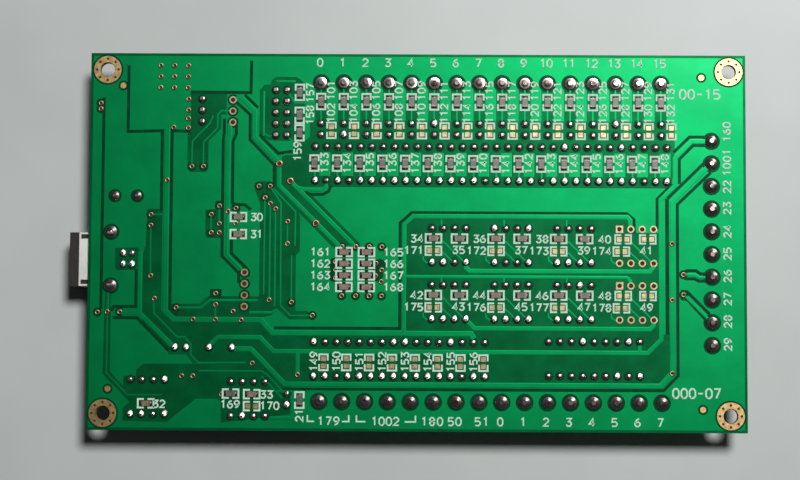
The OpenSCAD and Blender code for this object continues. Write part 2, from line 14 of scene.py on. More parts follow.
import bmesh
import bpy
from mathutils import Euler, Matrix, Vector


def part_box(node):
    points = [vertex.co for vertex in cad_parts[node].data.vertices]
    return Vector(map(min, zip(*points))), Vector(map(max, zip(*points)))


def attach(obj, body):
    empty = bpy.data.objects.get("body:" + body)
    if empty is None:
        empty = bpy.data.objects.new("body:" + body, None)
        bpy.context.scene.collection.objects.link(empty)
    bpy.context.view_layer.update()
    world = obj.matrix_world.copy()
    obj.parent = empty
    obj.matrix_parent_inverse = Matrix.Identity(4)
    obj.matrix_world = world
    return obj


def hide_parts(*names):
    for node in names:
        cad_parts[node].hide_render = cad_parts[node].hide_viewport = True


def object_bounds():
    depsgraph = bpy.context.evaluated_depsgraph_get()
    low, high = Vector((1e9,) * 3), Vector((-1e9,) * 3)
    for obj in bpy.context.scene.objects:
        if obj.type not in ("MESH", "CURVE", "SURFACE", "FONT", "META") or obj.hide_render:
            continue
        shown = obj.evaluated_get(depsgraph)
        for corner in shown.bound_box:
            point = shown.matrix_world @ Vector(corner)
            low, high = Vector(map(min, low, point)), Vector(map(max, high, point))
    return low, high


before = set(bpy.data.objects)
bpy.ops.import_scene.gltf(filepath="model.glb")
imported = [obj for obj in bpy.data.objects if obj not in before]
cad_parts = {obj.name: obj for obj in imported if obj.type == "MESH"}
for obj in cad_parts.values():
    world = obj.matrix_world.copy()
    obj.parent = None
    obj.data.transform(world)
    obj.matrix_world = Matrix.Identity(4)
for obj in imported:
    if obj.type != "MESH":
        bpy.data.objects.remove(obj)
cad_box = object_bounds()
print("CAD nodes:", len(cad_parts))

# %% [markdown]
# ## Units and colours
#
# The frame is in metres, but a board is drawn in millimetres, so every size below is in
# millimetres, and the builders scale it. Colours are written as the sRGB hex values of a
# paint chart, and one function turns them to the linear values that Blender works in.

# %% Units and colours
MM = 0.001


def colour(hex_text):
    """Linear RGBA for an sRGB colour written as hex, such as "2f6b3c"."""
    parts = [int(hex_text[i : i + 2], 16) / 255 for i in (0, 2, 4)]
    linear = [c / 12.92 if c <= 0.04045 else ((c + 0.055) / 1.055) ** 2.4 for c in parts]
    return (*linear, 1.0)


print("mask green in linear values:", [round(c, 3) for c in colour("0b8a4a")])

# %% [markdown]
# ## How a material is written
#
# Each material is a Principled shader. What is the same all over the surface is set on
# the shader's own sockets; what varies comes from nodes. `add_node` adds one node with
# its settings and links, and `clouded` joins a few of them into the commonest pattern of
# all, two near colours that drift into each other, because no real surface is even.
# `new_surface` is that pattern as a whole material, with the grain of the stuff as bumps.

# %% Material helpers
def add_node(tree, kind, inputs=None, **settings):
    """Adds a node; inputs holds a value or another node's socket for each socket."""
    made = tree.nodes.new(kind)
    for name, value in settings.items():
        setattr(made, name, value)
    for name, value in (inputs or {}).items():
        if isinstance(value, bpy.types.NodeSocket):
            tree.links.new(value, made.inputs[name])
        else:
            made.inputs[name].default_value = value
    return made


def new_material(name, constants):
    """A material, its node tree and its Principled shader with constant sockets set."""
    material = bpy.data.materials.new(name)
    material.use_nodes = True
    shader = material.node_tree.nodes["Principled BSDF"]
    for socket, value in constants.items():
        shader.inputs[socket].default_value = value
    return material, material.node_tree, shader


def mixed(tree, factor, low, high):
    """A colour socket between two colours, each a hex text or another node's socket."""
    mix = add_node(tree, "ShaderNodeMix", {"Factor": factor}, data_type="RGBA")
    for name, value in (("A", low), ("B", high)):
        if isinstance(value, str):
            mix.inputs[name].default_value = colour(value)
        else:
            tree.links.new(value, mix.inputs[name])
    return mix.outputs["Result"]


def noise(tree, size_mm, **inputs):
    """A socket of soft noise in Object coordinates, its patches about size_mm wide."""
    place = add_node(tree, "ShaderNodeTexCoord").outputs["Object"]
    inputs = {name.title(): value for name, value in inputs.items()}
    inputs.update({"Vector": place, "Scale": 1 / (size_mm * MM)})
    return add_node(tree, "ShaderNodeTexNoise", inputs).outputs["Fac"]


def clouded(tree, low, high, size_mm):
    """A colour socket that drifts between two hex colours over patches of size_mm."""
    cloud = noise(tree, size_mm, detail=3.0, roughness=0.55)
    limits = {"Value": cloud, "From Min": 0.36, "From Max": 0.64}
    spread = add_node(tree, "ShaderNodeMapRange", limits)
    return mixed(tree, spread.outputs["Result"], low, high)


def roughened(tree, size_mm, height_mm, strength=1.0):
    """A normal socket for a surface with soft bumps of that size and height."""
    grain = noise(tree, size_mm, detail=2.0)
    inputs = {"Height": grain, "Distance": height_mm * MM, "Strength": strength}
    return add_node(tree, "ShaderNodeBump", inputs).outputs["Normal"]


def calc(tree, operation, *values):
    """A socket with the result of a sum on numbers or other nodes' sockets."""
    made = add_node(tree, "ShaderNodeMath", dict(enumerate(values)), operation=operation)
    return made.outputs[0]


def parts_of(tree, coordinates):
    """The X, Y and Z sockets of Object or Normal coordinates."""
    vector = add_node(tree, "ShaderNodeTexCoord").outputs[coordinates]
    return add_node(tree, "ShaderNodeSeparateXYZ", {"Vector": vector}).outputs


def new_surface(name, low, high, size_mm, constants, bumps=None):
    """A clouded material, with bumps given as size, height and strength if it has any."""
    material, tree, shader = new_material(name, constants)
    tree.links.new(clouded(tree, low, high, size_mm), shader.inputs["Base Color"])
    if bumps:
        tree.links.new(roughened(tree, *bumps), shader.inputs["Normal"])
    return material


print("material helpers ready")

# %% [markdown]
# ## Copper under green mask
#
# A board is coated with a green epoxy mask. Over copper it looks a bright leaf green with
# a metallic sheen, because light passes through the film and comes back from the metal.
# Over bare laminate the same film looks a dull dark green. In a narrow gap between two
# coppers it is made darker still: painted shade, for the shade that the copper edges
# cast into the gap. So there are three materials, from a green half-metal down to a dark
# green plastic, all clouded a little, as the film is never of one thickness. The weave of
# the laminate and the brushing of the copper show through as very low bumps.

# %% Mask materials
COPPER_SHINE = {"Specular IOR Level": 0.04, "Coat Weight": 0.02, "Coat Roughness": 0.15}
COPPER_GREENS = ("006536", "006d3a", 9)
COPPER_METAL, MASK_ROUGH = 0.59, 0.38
copper_mask = new_surface(
    "green mask over copper",
    *COPPER_GREENS,
    {"Metallic": COPPER_METAL, "Roughness": MASK_ROUGH} | COPPER_SHINE,
    (1.6, 0.004),
)
bare_mask = new_surface(
    "green mask over bare laminate",
    "004422", "004e29", 5,
    {"Metallic": 0.4, "Roughness": MASK_ROUGH, "Specular IOR Level": 0.03},
    (0.9, 0.004),
)  # fmt: skip
# painted shade: a darker green for the narrow gaps and clearances, standing for the shade that the
# copper and solder beside them cast
gap_shade_mask = new_surface(
    "green mask darkened as painted gap shade",
    "003219", "003d20", 3,
    {"Metallic": 0.15, "Roughness": MASK_ROUGH, "Specular IOR Level": 0.03},
)  # fmt: skip
print("mask materials:", copper_mask.name, bare_mask.name, gap_shade_mask.name, sep=", ")

# %% [markdown]
# ## Pads, print, solder and the painted shade of holes
#
# Bare copper has a thin gilded finish, matt from its grain. It keeps its shine on the
# broad rings of the mounting holes, is duller on the small pads, and duller again on the
# rims of the vias, where the mask creeps over it. The print is a thin screen-printed ink,
# so the green shows through it a little. Solder is a bright grey metal that freezes with
# a slightly rippled skin; the little of it at the ends of the chips is dull. The bore of
# a small plated hole is only ever seen as a brown shadow, so it is drawn as painted shade:
# a flat brown disc laid over the hole.

# %% Pad, print and solder materials
def metal(name, low, high, size_mm, rough, bumps=None):
    """A bare metal, clouded between two hex colours."""
    return new_surface(name, low, high, size_mm, {"Metallic": 1.0, "Roughness": rough}, bumps)


gilding = metal("gilded copper pad", "816a4a", "9d8559", 0.8, 0.37, (0.25, 0.01))
thin_gilding = metal("thinly gilded small pad", "665e47", "80765b", 0.8, 0.4, (0.25, 0.01))
plated_ring = metal("plated ring of a hole", "5a523c", "746a52", 0.6, 0.37)
solder = metal("frozen solder", "a59a96", "d4c8c4", 0.5, 0.28, (0.45, 0.012, 0.5))
dull_solder = metal("dull solder", "3f3532", "5d504b", 0.5, 0.42, (0.3, 0.02, 0.5))
print_ink = new_surface("white screen-printed ink", "9ec9ae", "c2ddcb", 0.35, {"Roughness": 0.6})
bore_shadow = new_surface(
    "shadowed plated bore",
    "34140a", "4c200e", 0.5,
    {"Roughness": 0.7, "Specular IOR Level": 0.2},
)  # fmt: skip
print("pad, ring, print, solder and bore materials ready")

# %% [markdown]
# ## Working with flat bands
#
# Copper, print and gaps between coppers are all flat bands that run along a route of
# straight stretches. A band starts as one short edge across the route, and that edge is
# extruded from corner to corner and turned half way at each, as a mitre. A raised band
# starts from three edges, a slope, a top and a slope, so that its flanks catch the light
# as real copper's do. Every band gets its own height, a hair above the last, so that no
# two lie in one plane.

# %% Band and area builders
def add_band(bm, route, width, level, rise=0.0, slope=0.16):
    """Extrudes a band of that width in mm along a route of (x, y) corners."""
    corners = [Vector((x, y, 0.0)) for x, y in route]
    headings = [(b - a).normalized() for a, b in zip(corners, corners[1:])]
    headings = [headings[0], *headings, headings[-1]]
    half = width / 2
    section = [(-half, level), (half, level)]
    if rise:
        section[1:1] = [(slope - half, level + rise), (half - slope, level + rise)]
    row, edges = [], []
    for corner, before, after in zip(corners, headings, headings[1:]):
        sideways = Vector((-before.y, before.x, 0.0))
        across = (sideways + Vector((-after.y, after.x, 0.0))).normalized()
        stretch = 1 / max(across.dot(sideways), 0.5)
        places = [
            (corner + across * offset * stretch + Vector((0, 0, z))) * MM
            for offset, z in section
        ]
        if not row:
            row = [bm.verts.new(place) for place in places]
            edges = [bm.edges.new(pair) for pair in zip(row, row[1:])]
        else:
            grown = bmesh.ops.extrude_edge_only(bm, edges=edges)["geom"]
            edges = [g for g in grown if isinstance(g, bmesh.types.BMEdge)]
            edges = [e for e in edges if not set(e.verts) & set(row)]
            ends = [g for g in grown if isinstance(g, bmesh.types.BMVert)]
            row = sorted(ends, key=lambda v: v.co.dot(last_across))
            for vert, place in zip(row, places):
                vert.co = place
        last_across = across


def add_area(bm, outline, level):
    """Fills a closed outline of (x, y) corners in mm."""
    ring = [bm.verts.new(Vector((x, y, level)) * MM) for x, y in outline]
    edges = [bm.edges.new(pair) for pair in zip(ring, ring[1:] + ring[:1])]
    bmesh.ops.edgeloop_fill(bm, edges=edges)


def add_disc(bm, place, radius, level, segments=20):
    """A flat disc at (x, y) in mm."""
    bmesh.ops.create_circle(
        bm,
        cap_ends=True,
        radius=radius * MM,
        segments=segments,
        matrix=Matrix.Translation(Vector((*place, level)) * MM),
    )


def free_to_mesh(bm, name="shape"):
    """A mesh with what the bmesh holds."""
    mesh = bpy.data.meshes.new(name)
    bm.to_mesh(mesh)
    bm.free()
    return mesh


def stamp(bm, mesh, matrix):
    """Adds a copy of a small mesh, turned and placed by the matrix."""
    copy = mesh.copy()
    copy.transform(matrix)
    bm.from_mesh(copy)
    bpy.data.meshes.remove(copy)


def placed(x, y, z=0.0, turn=0.0, size=1.0):
    """The matrix that turns a shape about Z in degrees and puts it at a place in mm."""
    return (
        Matrix.Translation(Vector((x, y, z)) * MM)
        @ Matrix.Rotation(math.radians(turn), 4, "Z")
        @ Matrix.Scale(size, 4)
    )


def stamp_all(bm, mesh, places, z, turn=0.0):
    """Adds a copy of a small mesh at each place (x, y) in mm, all at one height."""
    for x, y in places:
        stamp(bm, mesh, placed(x, y, z, turn))


def finish_piece(name, bm, material, smooth=False, facing=1):
    """Turns a bmesh into a piece of the object, its faces up (or down for -1)."""
    bmesh.ops.reverse_faces(bm, faces=[f for f in bm.faces if f.normal.z * facing < -0.2])
    mesh = free_to_mesh(bm, name)
    mesh.materials.append(material)
    if smooth:
        mesh.shade_smooth()
    piece = bpy.data.objects.new(name, mesh)
    bpy.context.scene.collection.objects.link(piece)
    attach(piece, "root")
    print(f"{name}: {len(mesh.polygons)} faces")
    return piece


class Levels:
    """Hands out heights in mm, each a hair above the last."""

    def __init__(self, start, step=0.0003):
        self.height, self.step = start, step

    def next(self):
        self.height += self.step
        return self.height


print("band, area, disc and stamp builders ready")

# %% [markdown]
# ## Where things stand on the board
#
# Nearly everything sits on a grid: terminals every 5.08 mm, chip legs every 2.54 mm, and
# rows of chips one package apart. The places come from that grid, so that pads, solder
# and print all agree with the legs that the CAD model has.

# %% Places, in mm
GRID = 2.54
POLE = 2 * GRID
DIP_SPAN = 7.62
HALF_X, HALF_Y, BOARD_T = 73.5, 42.25, 1.6
TERMINAL_ROW_Y = 35.7


def row_of(count, step, x, y):
    return [(x + i * step, y) for i in range(count)]


def dip_places(pins, x, y):
    """The leg places of a dual in-line chip whose first leg is at (x, y)."""
    return row_of(pins // 2, GRID, x, y) + row_of(pins // 2, GRID, x, y - DIP_SPAN)


column_x = [-21.7 + POLE * i for i in range(16)]
input_places = [(x, TERMINAL_ROW_Y) for x in column_x]
output_places = [(x, -TERMINAL_ROW_Y) for x in column_x]
axis_places = [(65.75, 22.86 - POLE * i) for i in range(10)]
terminal_places = input_places + output_places + axis_places

axis_groups = [(3.25 + 13.97 * i, y) for y in (3.0, -9.65) for i in range(4)]
fitted_groups = [g for i, g in enumerate(axis_groups) if i % 4 != 3]
spare_groups = [g for i, g in enumerate(axis_groups) if i % 4 == 3]

dip_leg_places = (
    row_of(32, GRID, -22.97, 21.25)
    + row_of(32, GRID, -22.97, 13.63)
    + row_of(16, GRID, -22.97, -22.5)
    + row_of(16, GRID, -22.97, -30.12)
    + dip_places(18, 29.3, -22.2)
    + dip_places(8, -63.65, -31.05)
    + dip_places(8, -41.3, -31.4)
    + [place for group in fitted_groups for place in dip_places(8, *group)]
)
lamp_places = [(x, 25.25 + s * GRID / 2) for x in column_x for s in (1, -1)]
lamp_places += [(-28.85, -35.25 + s * GRID / 2) for s in (1, -1)]
header_places = [(x, 33.97 - GRID * i) for x in (-31.9, -29.36) for i in range(5)]
jumper_places = [(-48.4, 31.9 - GRID * i) for i in range(3)]
supply_places = [(-53.9 + GRID * i, -23.85) for i in (0, 1, 3, 5)]
usb_signal_places = [(x, -4.15 + s * 1.25) for x in (-65.7, -63.7) for s in (1, -1)]
usb_shell_places = [(-68.4, -4.15 + s * 6.02) for s in (1, -1)]
capacitor_places = [(-67.7, 10.0), (-62.7, 10.0)]
spare_three = [(-41.5, 31.75 - GRID * i) for i in range(3)]
spare_four = [(-38.5, -7.05 - GRID * i) for i in range(4)]
spare_dips = [place for group in spare_groups for place in dip_places(8, *group)]

standing_resistors = [(x, 31.45) for x in column_x] + [(x - 1.4, 17.55) for x in column_x]
standing_resistors += [(-26.5, 33.5), (-26.5, 28.3), (-26.5, 24.35), (-26.0, -35.4)]
lying_resistors = [(x + 6.2, y - 2.25) for x, y in fitted_groups] + [(-41.3, -34.05)]
lying_capacitors = [(x + 0.4, y - 2.25) for x, y in fitted_groups]
CONTROLLER_ROWS = (-2.4, -5.0, -7.6, -10.2)
lying_capacitors += [(x, y) for x in (-16.3, -11.3) for y in CONTROLLER_ROWS]
lying_capacitors += [(-40.0, 5.35), (-40.0, 1.5), (-60.15, -36.3), (-36.6, -34.15)]

vias = [(-54.75 + 3.1 * x, 37.0 + 2.5 * y) for x in (-1, 0, 1) for y in (-1, 0, 1)]
vias += [(-51.5, y) for y in (31.9, 29.4, 27.5, 25.4)] + [(-54.8, 25.5)]
controller_vias = [(x, y) for x in (-16.8, -13.7, -10.7, -7.9) for y in (-1.2, -12.2)]
cleared_vias = [(-50.6, 16.7), (-48.0, 16.7), (-46.1, 5.9), (-46.1, 1.8), (-44.3, 7.8)]
cleared_vias += controller_vias + [
    (-35.5, 12.3), (-33.0, 12.3), (-34.1, 9.7), (-23.3, -16.6), (-28.0, -13.7), (-59.6, 5.8),
    (-59.6, 3.4), (-53.7, -15.0), (-71.3, -16.1), (-40.6, 7.3), (-71.2, 30.9), (-71.2, 29.6),
    (59.4, -7.1), (59.4, -11.6), (-66.3, -16.0),
]  # fmt: skip
vias += cleared_vias + [
    (-18.2, -4.6), (-18.2, -6.4), (-18.2, -8.2), (-9.2, -4.9), (-7.9, -6.4), (-9.3, -7.7),
    (-8.0, -9.0), (-56.1, 13.6), (-59.5, -7.9), (-58.6, -13.0), (-49.9, -17.6), (-44.3, 3.8),
    (-44.3, 1.8), (-42.4, 6.6), (-40.6, 3.9), (-44.9, -14.3), (-44.9, -11.8), (-44.9, -17.6),
    (-41.0, -15.8), (-39.2, -17.7), (-69.1, -16.0), (-52.3, -30.2), (-49.8, -30.2),
    (-43.4, -34.2), (-32.9, 8.4), (-31.7, 7.2), (-29.0, 4.4), (-29.0, -0.6), (-33.0, -13.2),
    (-36.6, -27.3), (-26.5, -29.8), (56.9, -0.2), (56.9, -12.8), (56.8, -29.1),
]  # fmt: skip
wide_vias = [(-31.0, 17.4), (-28.5, 13.5), (-22.7, 4.0)]
mounting_holes = [(x, y) for x in (-69.75, 69.75) for y in (-38.5, 38.5)]
print(len(terminal_places), "terminal pins,", len(dip_leg_places), "chip legs,", len(vias), "vias")

# %% [markdown]
# ## Bare laminate
#
# On this board the copper is poured over the whole face and then cleared away round each
# track and each group of legs. The CAD board's own top face stands for the pour. What
# was cleared is laid over it in two pieces: the wide areas and the border in dark green,
# then, darker, the narrow gaps that run beside single tracks and a disc round every leg,
# via and mark that must not touch the pour. Their darker green is painted shade, for the
# shade that the copper and solder beside them cast into those gaps, which is why they are
# a piece of their own.

# %% Cleared areas
bm = bmesh.new()
levels = Levels(0.004)
CLEARED = {
    "jumper": [
        (-51.0, 33.8), (-42.9, 33.8), (-42.9, 28.4), (-44.1, 28.4), (-44.1, 25.2),
        (-46.9, 22.4), (-46.9, 15.9), (-47.6, 15.4), (-51.0, 15.4), (-51.6, 16.1),
        (-51.6, 24.3), (-51.0, 24.6),
    ],
    "programming": [
        (-35.5, 24.2), (-35.5, 34.0), (-34.5, 35.2), (-33.1, 35.3), (-32.8, 36.3),
        (-31.9, 37.0), (-27.3, 37.0), (-26.2, 36.3), (-25.3, 35.2), (-25.3, 23.0),
        (-28.2, 22.5), (-33.2, 22.6), (-34.9, 23.4),
    ],
    "input": [
        (-30.4, 12.2), (-30.4, 20.2), (-27.9, 20.4), (-27.9, 22.5), (-25.3, 22.6),
        (-24.2, 23.4), (-24.2, 27.2), (56.8, 27.2), (57.6, 26.0), (57.6, 20.6),
        (56.8, 12.2),
    ],
    "diagonal": [
        (-32.3, 17.2), (-32.3, 12.2), (-18.6, -1.6), (-12.8, -0.4), (-25.6, 12.3),
        (-27.2, 13.6), (-30.2, 17.6),
    ],
    "controller": [
        (-35.2, 8.4), (-36.4, 11.4), (-35.8, 13.4), (-33.0, 13.4), (-31.6, 12.4),
        (-26.9, 7.6), (-26.2, 5.3), (-26.2, -2.2), (-27.1, -3.2), (-27.1, -15.6),
        (-24.6, -15.6), (-22.4, -16.6), (-24.4, -17.5), (-28.4, -17.5), (-31.0, -15.2),
        (-32.4, -16.6), (-34.6, -17.1), (-55.0, -17.1), (-55.0, -14.2), (-48.4, -14.1),
        (-46.6, -12.4), (-35.2, -12.4),
    ],
    "supply slot": [
        (-60.4, 7.1), (-57.0, 7.1), (-57.0, -15.6), (-54.6, -18.1), (-34.6, -18.1),
        (-32.2, -21.0), (-30.0, -27.4), (-49.8, -27.4), (-51.3, -25.4), (-55.3, -25.4),
        (-55.3, -24.2), (-61.2, -18.0), (-61.3, -3.0), (-60.7, -1.2),
    ],
    "amplifier": [
        (-60.8, -27.5), (-29.5, -27.4), (-28.0, -31.0), (-28.0, -38.6), (-43.4, -40.5),
        (-43.5, -35.9), (-44.2, -35.2), (-49.0, -35.2), (-55.4, -40.4), (-65.3, -40.2),
        (-65.3, -37.4), (-63.8, -36.0), (-69.9, -29.8), (-69.6, -11.9), (-68.3, -11.9),
        (-68.2, -29.4), (-65.3, -32.4), (-65.2, -30.2), (-62.4, -30.2), (-62.4, -28.9),
    ],
    "output": [
        (-33.4, -21.0), (53.9, -21.0), (56.3, -20.0), (56.3, -28.6), (53.8, -31.3),
        (-29.2, -31.3), (-38.0, -23.0), (-47.5, -23.0), (-47.5, -20.0), (-35.0, -20.0),
    ],
    "axis": [
        (-2.4, 3.9), (-1.0, 5.2), (47.0, 5.2), (48.2, 2.2), (53.9, 2.2), (53.9, -21.2),
        (-2.4, -21.2),
    ],
    "crystal": [
        (-47.4, 6.9), (-45.2, 7.1), (-45.2, 9.0), (-43.4, 9.0), (-43.4, 0.6), (-47.0, 0.6),
        (-47.4, 1.2),
    ],
    "usb": [
        (-67.5, -1.7), (-62.3, -1.6), (-61.9, -2.6), (-62.7, -6.6), (-67.0, -6.7), (-67.5, -6.0),
    ],
}  # fmt: skip
for outline in CLEARED.values():
    add_area(bm, outline, levels.next())
for x in column_x:
    add_band(bm, [(x, 35.0), (x, 26.8)], 2.7, levels.next())
BORDER = 0.58
for side in (-1, 1):
    end, y = HALF_X - 0.02, side * (HALF_Y - 0.3)
    add_band(bm, [(-end, y), (end, y)], BORDER, levels.next())
    end, x = HALF_Y - 0.6, side * (HALF_X - 0.3)
    add_band(bm, [(x, -end), (x, end)], BORDER, levels.next())
finish_piece("cleared_areas", bm, bare_mask)

# %% Gaps beside single tracks
bm = bmesh.new()
GAP = 0.7
gaps = [
    [(-70.5, 32.2), (-70.5, -15.4)],
    [(-65.0, 39.5), (-65.0, 24.5), (-57.3, 24.7), (-57.3, 6.6)],
    [(-51.0, 24.6), (-55.1, 24.7), (-55.1, -15.2), (-53.4, -16.6)],
    [(-51.0, 33.5), (-37.5, 33.4), (-37.4, 40.7)],
    [(-38.9, 32.9), (-35.9, 30.0)],
    [(-40.9, 31.4), (-37.6, 28.4), (-37.6, 22.8), (-32.1, 17.1), (-32.1, 12.4)],
    [(-35.4, 24.0), (-34.5, 22.9), (-31.2, 19.7), (-28.0, 20.2)],
    [(-43.4, 27.5), (-43.4, 24.4), (-43.6, 22.6), (-43.6, -3.4), (-39.8, -7.2), (-39.8, -9.4)],
    [(-40.7, 27.5), (-40.7, 24.0), (-41.4, 22.4), (-41.4, 8.6), (-40.9, 8.2)],
    [(-41.5, 0.6), (-41.5, -2.8), (-38.2, -6.0), (-37.6, -8.0)],
    [(-41.6, 8.2), (-38.6, 8.1), (-37.2, 7.0)],
    [(-25.2, 10.9), (-23.8, 10.5), (-21.2, 10.5), (-19.9, 11.2), (-19.3, 12.6)],
    [(-31.8, -19.4), (-3.8, -19.4), (-3.8, 4.2), (-1.2, 6.5), (46.8, 6.5), (48.4, 5.2),
     (48.5, 2.0)],
    [(53.6, 3.0), (53.6, 9.8), (57.0, 13.2)],
    [(64.2, 23.8), (60.9, 23.8), (57.3, 20.3)],
    [(64.2, 21.9), (61.7, 21.9), (58.6, 18.8), (58.6, 13.2)],
    [(64.6, 18.4), (55.9, 9.9)],
    [(65.6, 15.8), (58.1, 8.6), (58.1, -29.6), (54.9, -32.9), (-30.0, -33.0)],
    [(58.3, -7.0), (60.2, -6.2), (62.2, -6.2), (63.2, -6.9), (65.0, -6.9)],
    [(58.3, -7.0), (60.0, -8.0), (61.8, -8.0), (62.8, -8.5), (65.0, -8.5)],
    [(58.8, -10.8), (60.2, -10.9), (65.2, -15.9)],
    [(58.8, -12.4), (60.2, -12.6), (64.2, -17.0)],
    [(-62.7, -6.4), (-62.7, -14.8), (-67.6, -14.8), (-68.2, -15.8)],
    [(-67.8, -17.3), (-62.4, -17.3), (-55.2, -24.6)],
]  # fmt: skip
for route in gaps:
    add_band(bm, route, GAP, levels.next())
add_band(bm, [(55.8, 9.9), (55.8, -20.5)], 0.85, levels.next())
add_band(bm, [(-44.9, -10.8), (-44.9, -12.6)], 2.6, levels.next())

# %% Clearance round legs and vias
small_leg_places = lamp_places + dip_leg_places + header_places + jumper_places + supply_places
for places, radius in (
    (terminal_places, 1.98),
    (usb_shell_places, 1.85),
    (capacitor_places, 1.5),
    (small_leg_places, 1.05),
    (spare_three + spare_four, 1.25),
):
    level = levels.next()
    for place in places:
        add_disc(bm, place, radius, level, 24)
SIGHT_MARKS = [(-66.2, 34.9), (-68.7, -33.1), (63.6, 37.2), (63.6, -37.1)]
for place in SIGHT_MARKS:
    add_disc(bm, place, 1.12, levels.next(), 24)
RING_EDGE = 3.1
for x, y in mounting_holes:
    turns = [math.tau * i / 48 for i in range(49)]
    circle = [(x + RING_EDGE * math.cos(a), y + RING_EDGE * math.sin(a)) for a in turns]
    add_band(bm, circle, 0.7, levels.next())
for place in cleared_vias:
    add_disc(bm, place, 1.02, levels.next(), 16)
for x, y in lying_capacitors[6:14]:
    add_band(bm, [(x - 1.95, y), (x + 1.95, y)], 2.4, levels.next())
for place in [(-8.4, -5.4), (-9.0, -7.4), (-18.4, -5.2), (-18.4, -7.6)]:
    add_disc(bm, place, 1.5, levels.next(), 16)
# the gaps and clearances wear the green that is darkened as painted shade
finish_piece("cleared_gaps", bm, gap_shade_mask)
print("cleared areas reach", round(levels.height, 4), "mm above the pour")

# %% [markdown]
# ## Tracks
#
# Tracks are the copper that is left inside the cleared areas: about a millimetre wide
# where they carry lamp or relay current, and a third of that between the controller's
# legs. The mask levels them out, so the wide ones stand only a hundredth of a millimetre
# proud, with sloped flanks, and the narrow ones are drawn flat.

# %% Tracks
bm = bmesh.new()
levels = Levels(levels.height + 0.004, 0.0002)
RISE = 0.008
WIDE, NARROW = 1.0, 0.34
wide_tracks = [
    ([(-56.2, 25.2), (-56.2, -15.7), (-54.2, -17.6), (-34.8, -17.6), (-32.2, -20.5),
      (12.1, -20.5), (12.7, -21.6)], 1.2),
    ([(-41.5, 31.8), (-39.5, 32.2), (-36.6, 29.3), (-36.6, 23.4), (-31.0, 17.6)], 1.1),
    ([(-31.0, 17.4), (-31.0, 12.5), (-17.4, -1.1)], WIDE),
    ([(-28.5, 13.5), (-14.1, -0.9)], WIDE),
    ([(-26.6, 12.0), (-25.2, 11.6), (-21.5, 11.5), (-20.5, 12.2), (-20.4, 13.4)], 0.8),
    ([(-42.2, 26.4), (-42.2, 24.2), (-42.5, 22.6), (-42.5, 6.6)], 1.1),
    ([(-42.5, 6.6), (-42.5, -3.1), (-38.7, -6.9)], 0.6),
    ([(-61.9, -2.4), (-61.9, -15.9)], WIDE),
    ([(-66.3, -16.1), (-62.0, -16.1), (-54.1, -23.8)], 1.1),
    ([(-46.4, -23.5), (-44.3, -21.5), (-34.9, -21.5), (-31.9, -24.6), (51.4, -24.6),
      (54.4, -21.6), (54.4, 9.6), (57.6, 12.8), (57.6, 18.9), (61.4, 22.8), (65.4, 22.8)], WIDE),
    ([(-41.2, -24.1), (-36.9, -24.1), (-29.3, -31.9), (54.4, -31.9), (56.9, -29.3),
      (57.0, 9.2), (65.5, 17.6)], 1.1),
    ([(47.6, 3.0), (47.6, 5.0), (46.9, 5.75), (-0.9, 5.75), (-2.9, 3.9), (-2.9, -20.6)], 0.95),
    ([(10.9, -4.6), (10.9, -5.8), (11.7, -6.5), (51.9, -6.5), (52.7, -5.5), (52.7, -4.6)], WIDE),
    ([(-2.9, -7.8), (46.8, -7.8), (47.6, -8.6), (47.6, -9.6)], 0.7),
    ([(10.9, -17.3), (12.8, -19.3), (51.9, -19.3), (52.7, -18.5), (52.7, -17.3)], WIDE),
    ([(-26.5, -24.8), (-26.5, -29.8)], 0.9),
    ([(49.6, -22.4), (49.6, -24.6)], 0.8),
    ([(59.5, -7.1), (61.9, -7.1), (62.9, -7.7), (65.7, -7.7)], 0.6),
    ([(59.5, -11.6), (65.7, -17.8)], 0.6),
    ([(-32.6, -39.4), (-27.4, -39.4)], 0.8),
    ([(-53.7, -15.0), (-48.2, -15.0), (-46.2, -13.3), (-35.4, -13.3)], 0.5),
    ([(-37.4, -16.0), (-32.4, -16.0), (-31.0, -15.2)], 0.6),
    ([(-68.95, -11.6), (-68.95, -15.6)], 0.6),
    ([(-34.6, 23.7), (-34.6, 33.8)], 0.5),
    ([(-31.8, 36.0), (-27.4, 36.0)], 0.5),
]  # fmt: skip
narrow_tracks = [
    [(-50.6, 16.7), (-50.5, 22.4), (-46.6, 26.5), (-45.9, 28.2)],
    [(-48.0, 16.7), (-48.0, 22.2), (-44.9, 25.4), (-44.9, 28.3), (-44.1, 29.3), (-41.5, 29.3)],
    [(-59.6, 5.8), (-57.2, 5.9)],
    [(-59.6, 3.4), (-59.5, -7.9)],
    [(-58.7, -13.0), (-58.6, -16.2), (-53.4, -21.5), (-51.6, -21.5), (-50.3, -23.2),
     (-50.3, -25.4), (-48.6, -27.2), (-38.0, -27.1)],
    [(-46.1, 5.9), (-46.1, 1.8)],
    [(-44.3, 7.8), (-44.3, 3.8)],
    [(-44.9, -14.3), (-44.9, -17.6)],
    [(-69.0, -12.0), (-69.0, -29.6), (-64.2, -34.4), (-56.5, -34.4)],
    [(-34.1, 9.7), (-34.2, -12.0)],
    [(-32.9, 8.4), (-32.9, -13.2)],
    [(-31.7, 7.2), (-31.7, -14.6)],
    [(-33.0, 12.3), (-30.5, 8.6), (-30.4, -14.4), (-28.2, -16.6), (-23.3, -16.6)],
    [(-32.2, 11.8), (-27.2, 6.6), (-27.3, -1.0)],
    [(-29.0, 4.4), (-29.0, -0.6)],
    [(-28.0, -3.2), (-28.0, -13.7)],
    [(-33.6, -29.4), (-29.2, -34.0)],
    [(-34.4, -30.2), (-29.8, -35.0)],
    [(-48.5, -29.0), (-34.4, -29.0), (-33.6, -29.6)],
    [(-33.0, -33.4), (24.0, -33.5)],
    [(-29.4, 23.8), (-27.4, 21.8)],
    [(-30.6, 19.0), (-29.6, 19.5), (-27.4, 19.5)],
    [(-29.0, 33.4), (-27.6, 31.2), (-23.0, 31.0)],
    [(-34.6, 24.4), (-33.4, 23.6), (-31.9, 23.8)],
]  # fmt: skip
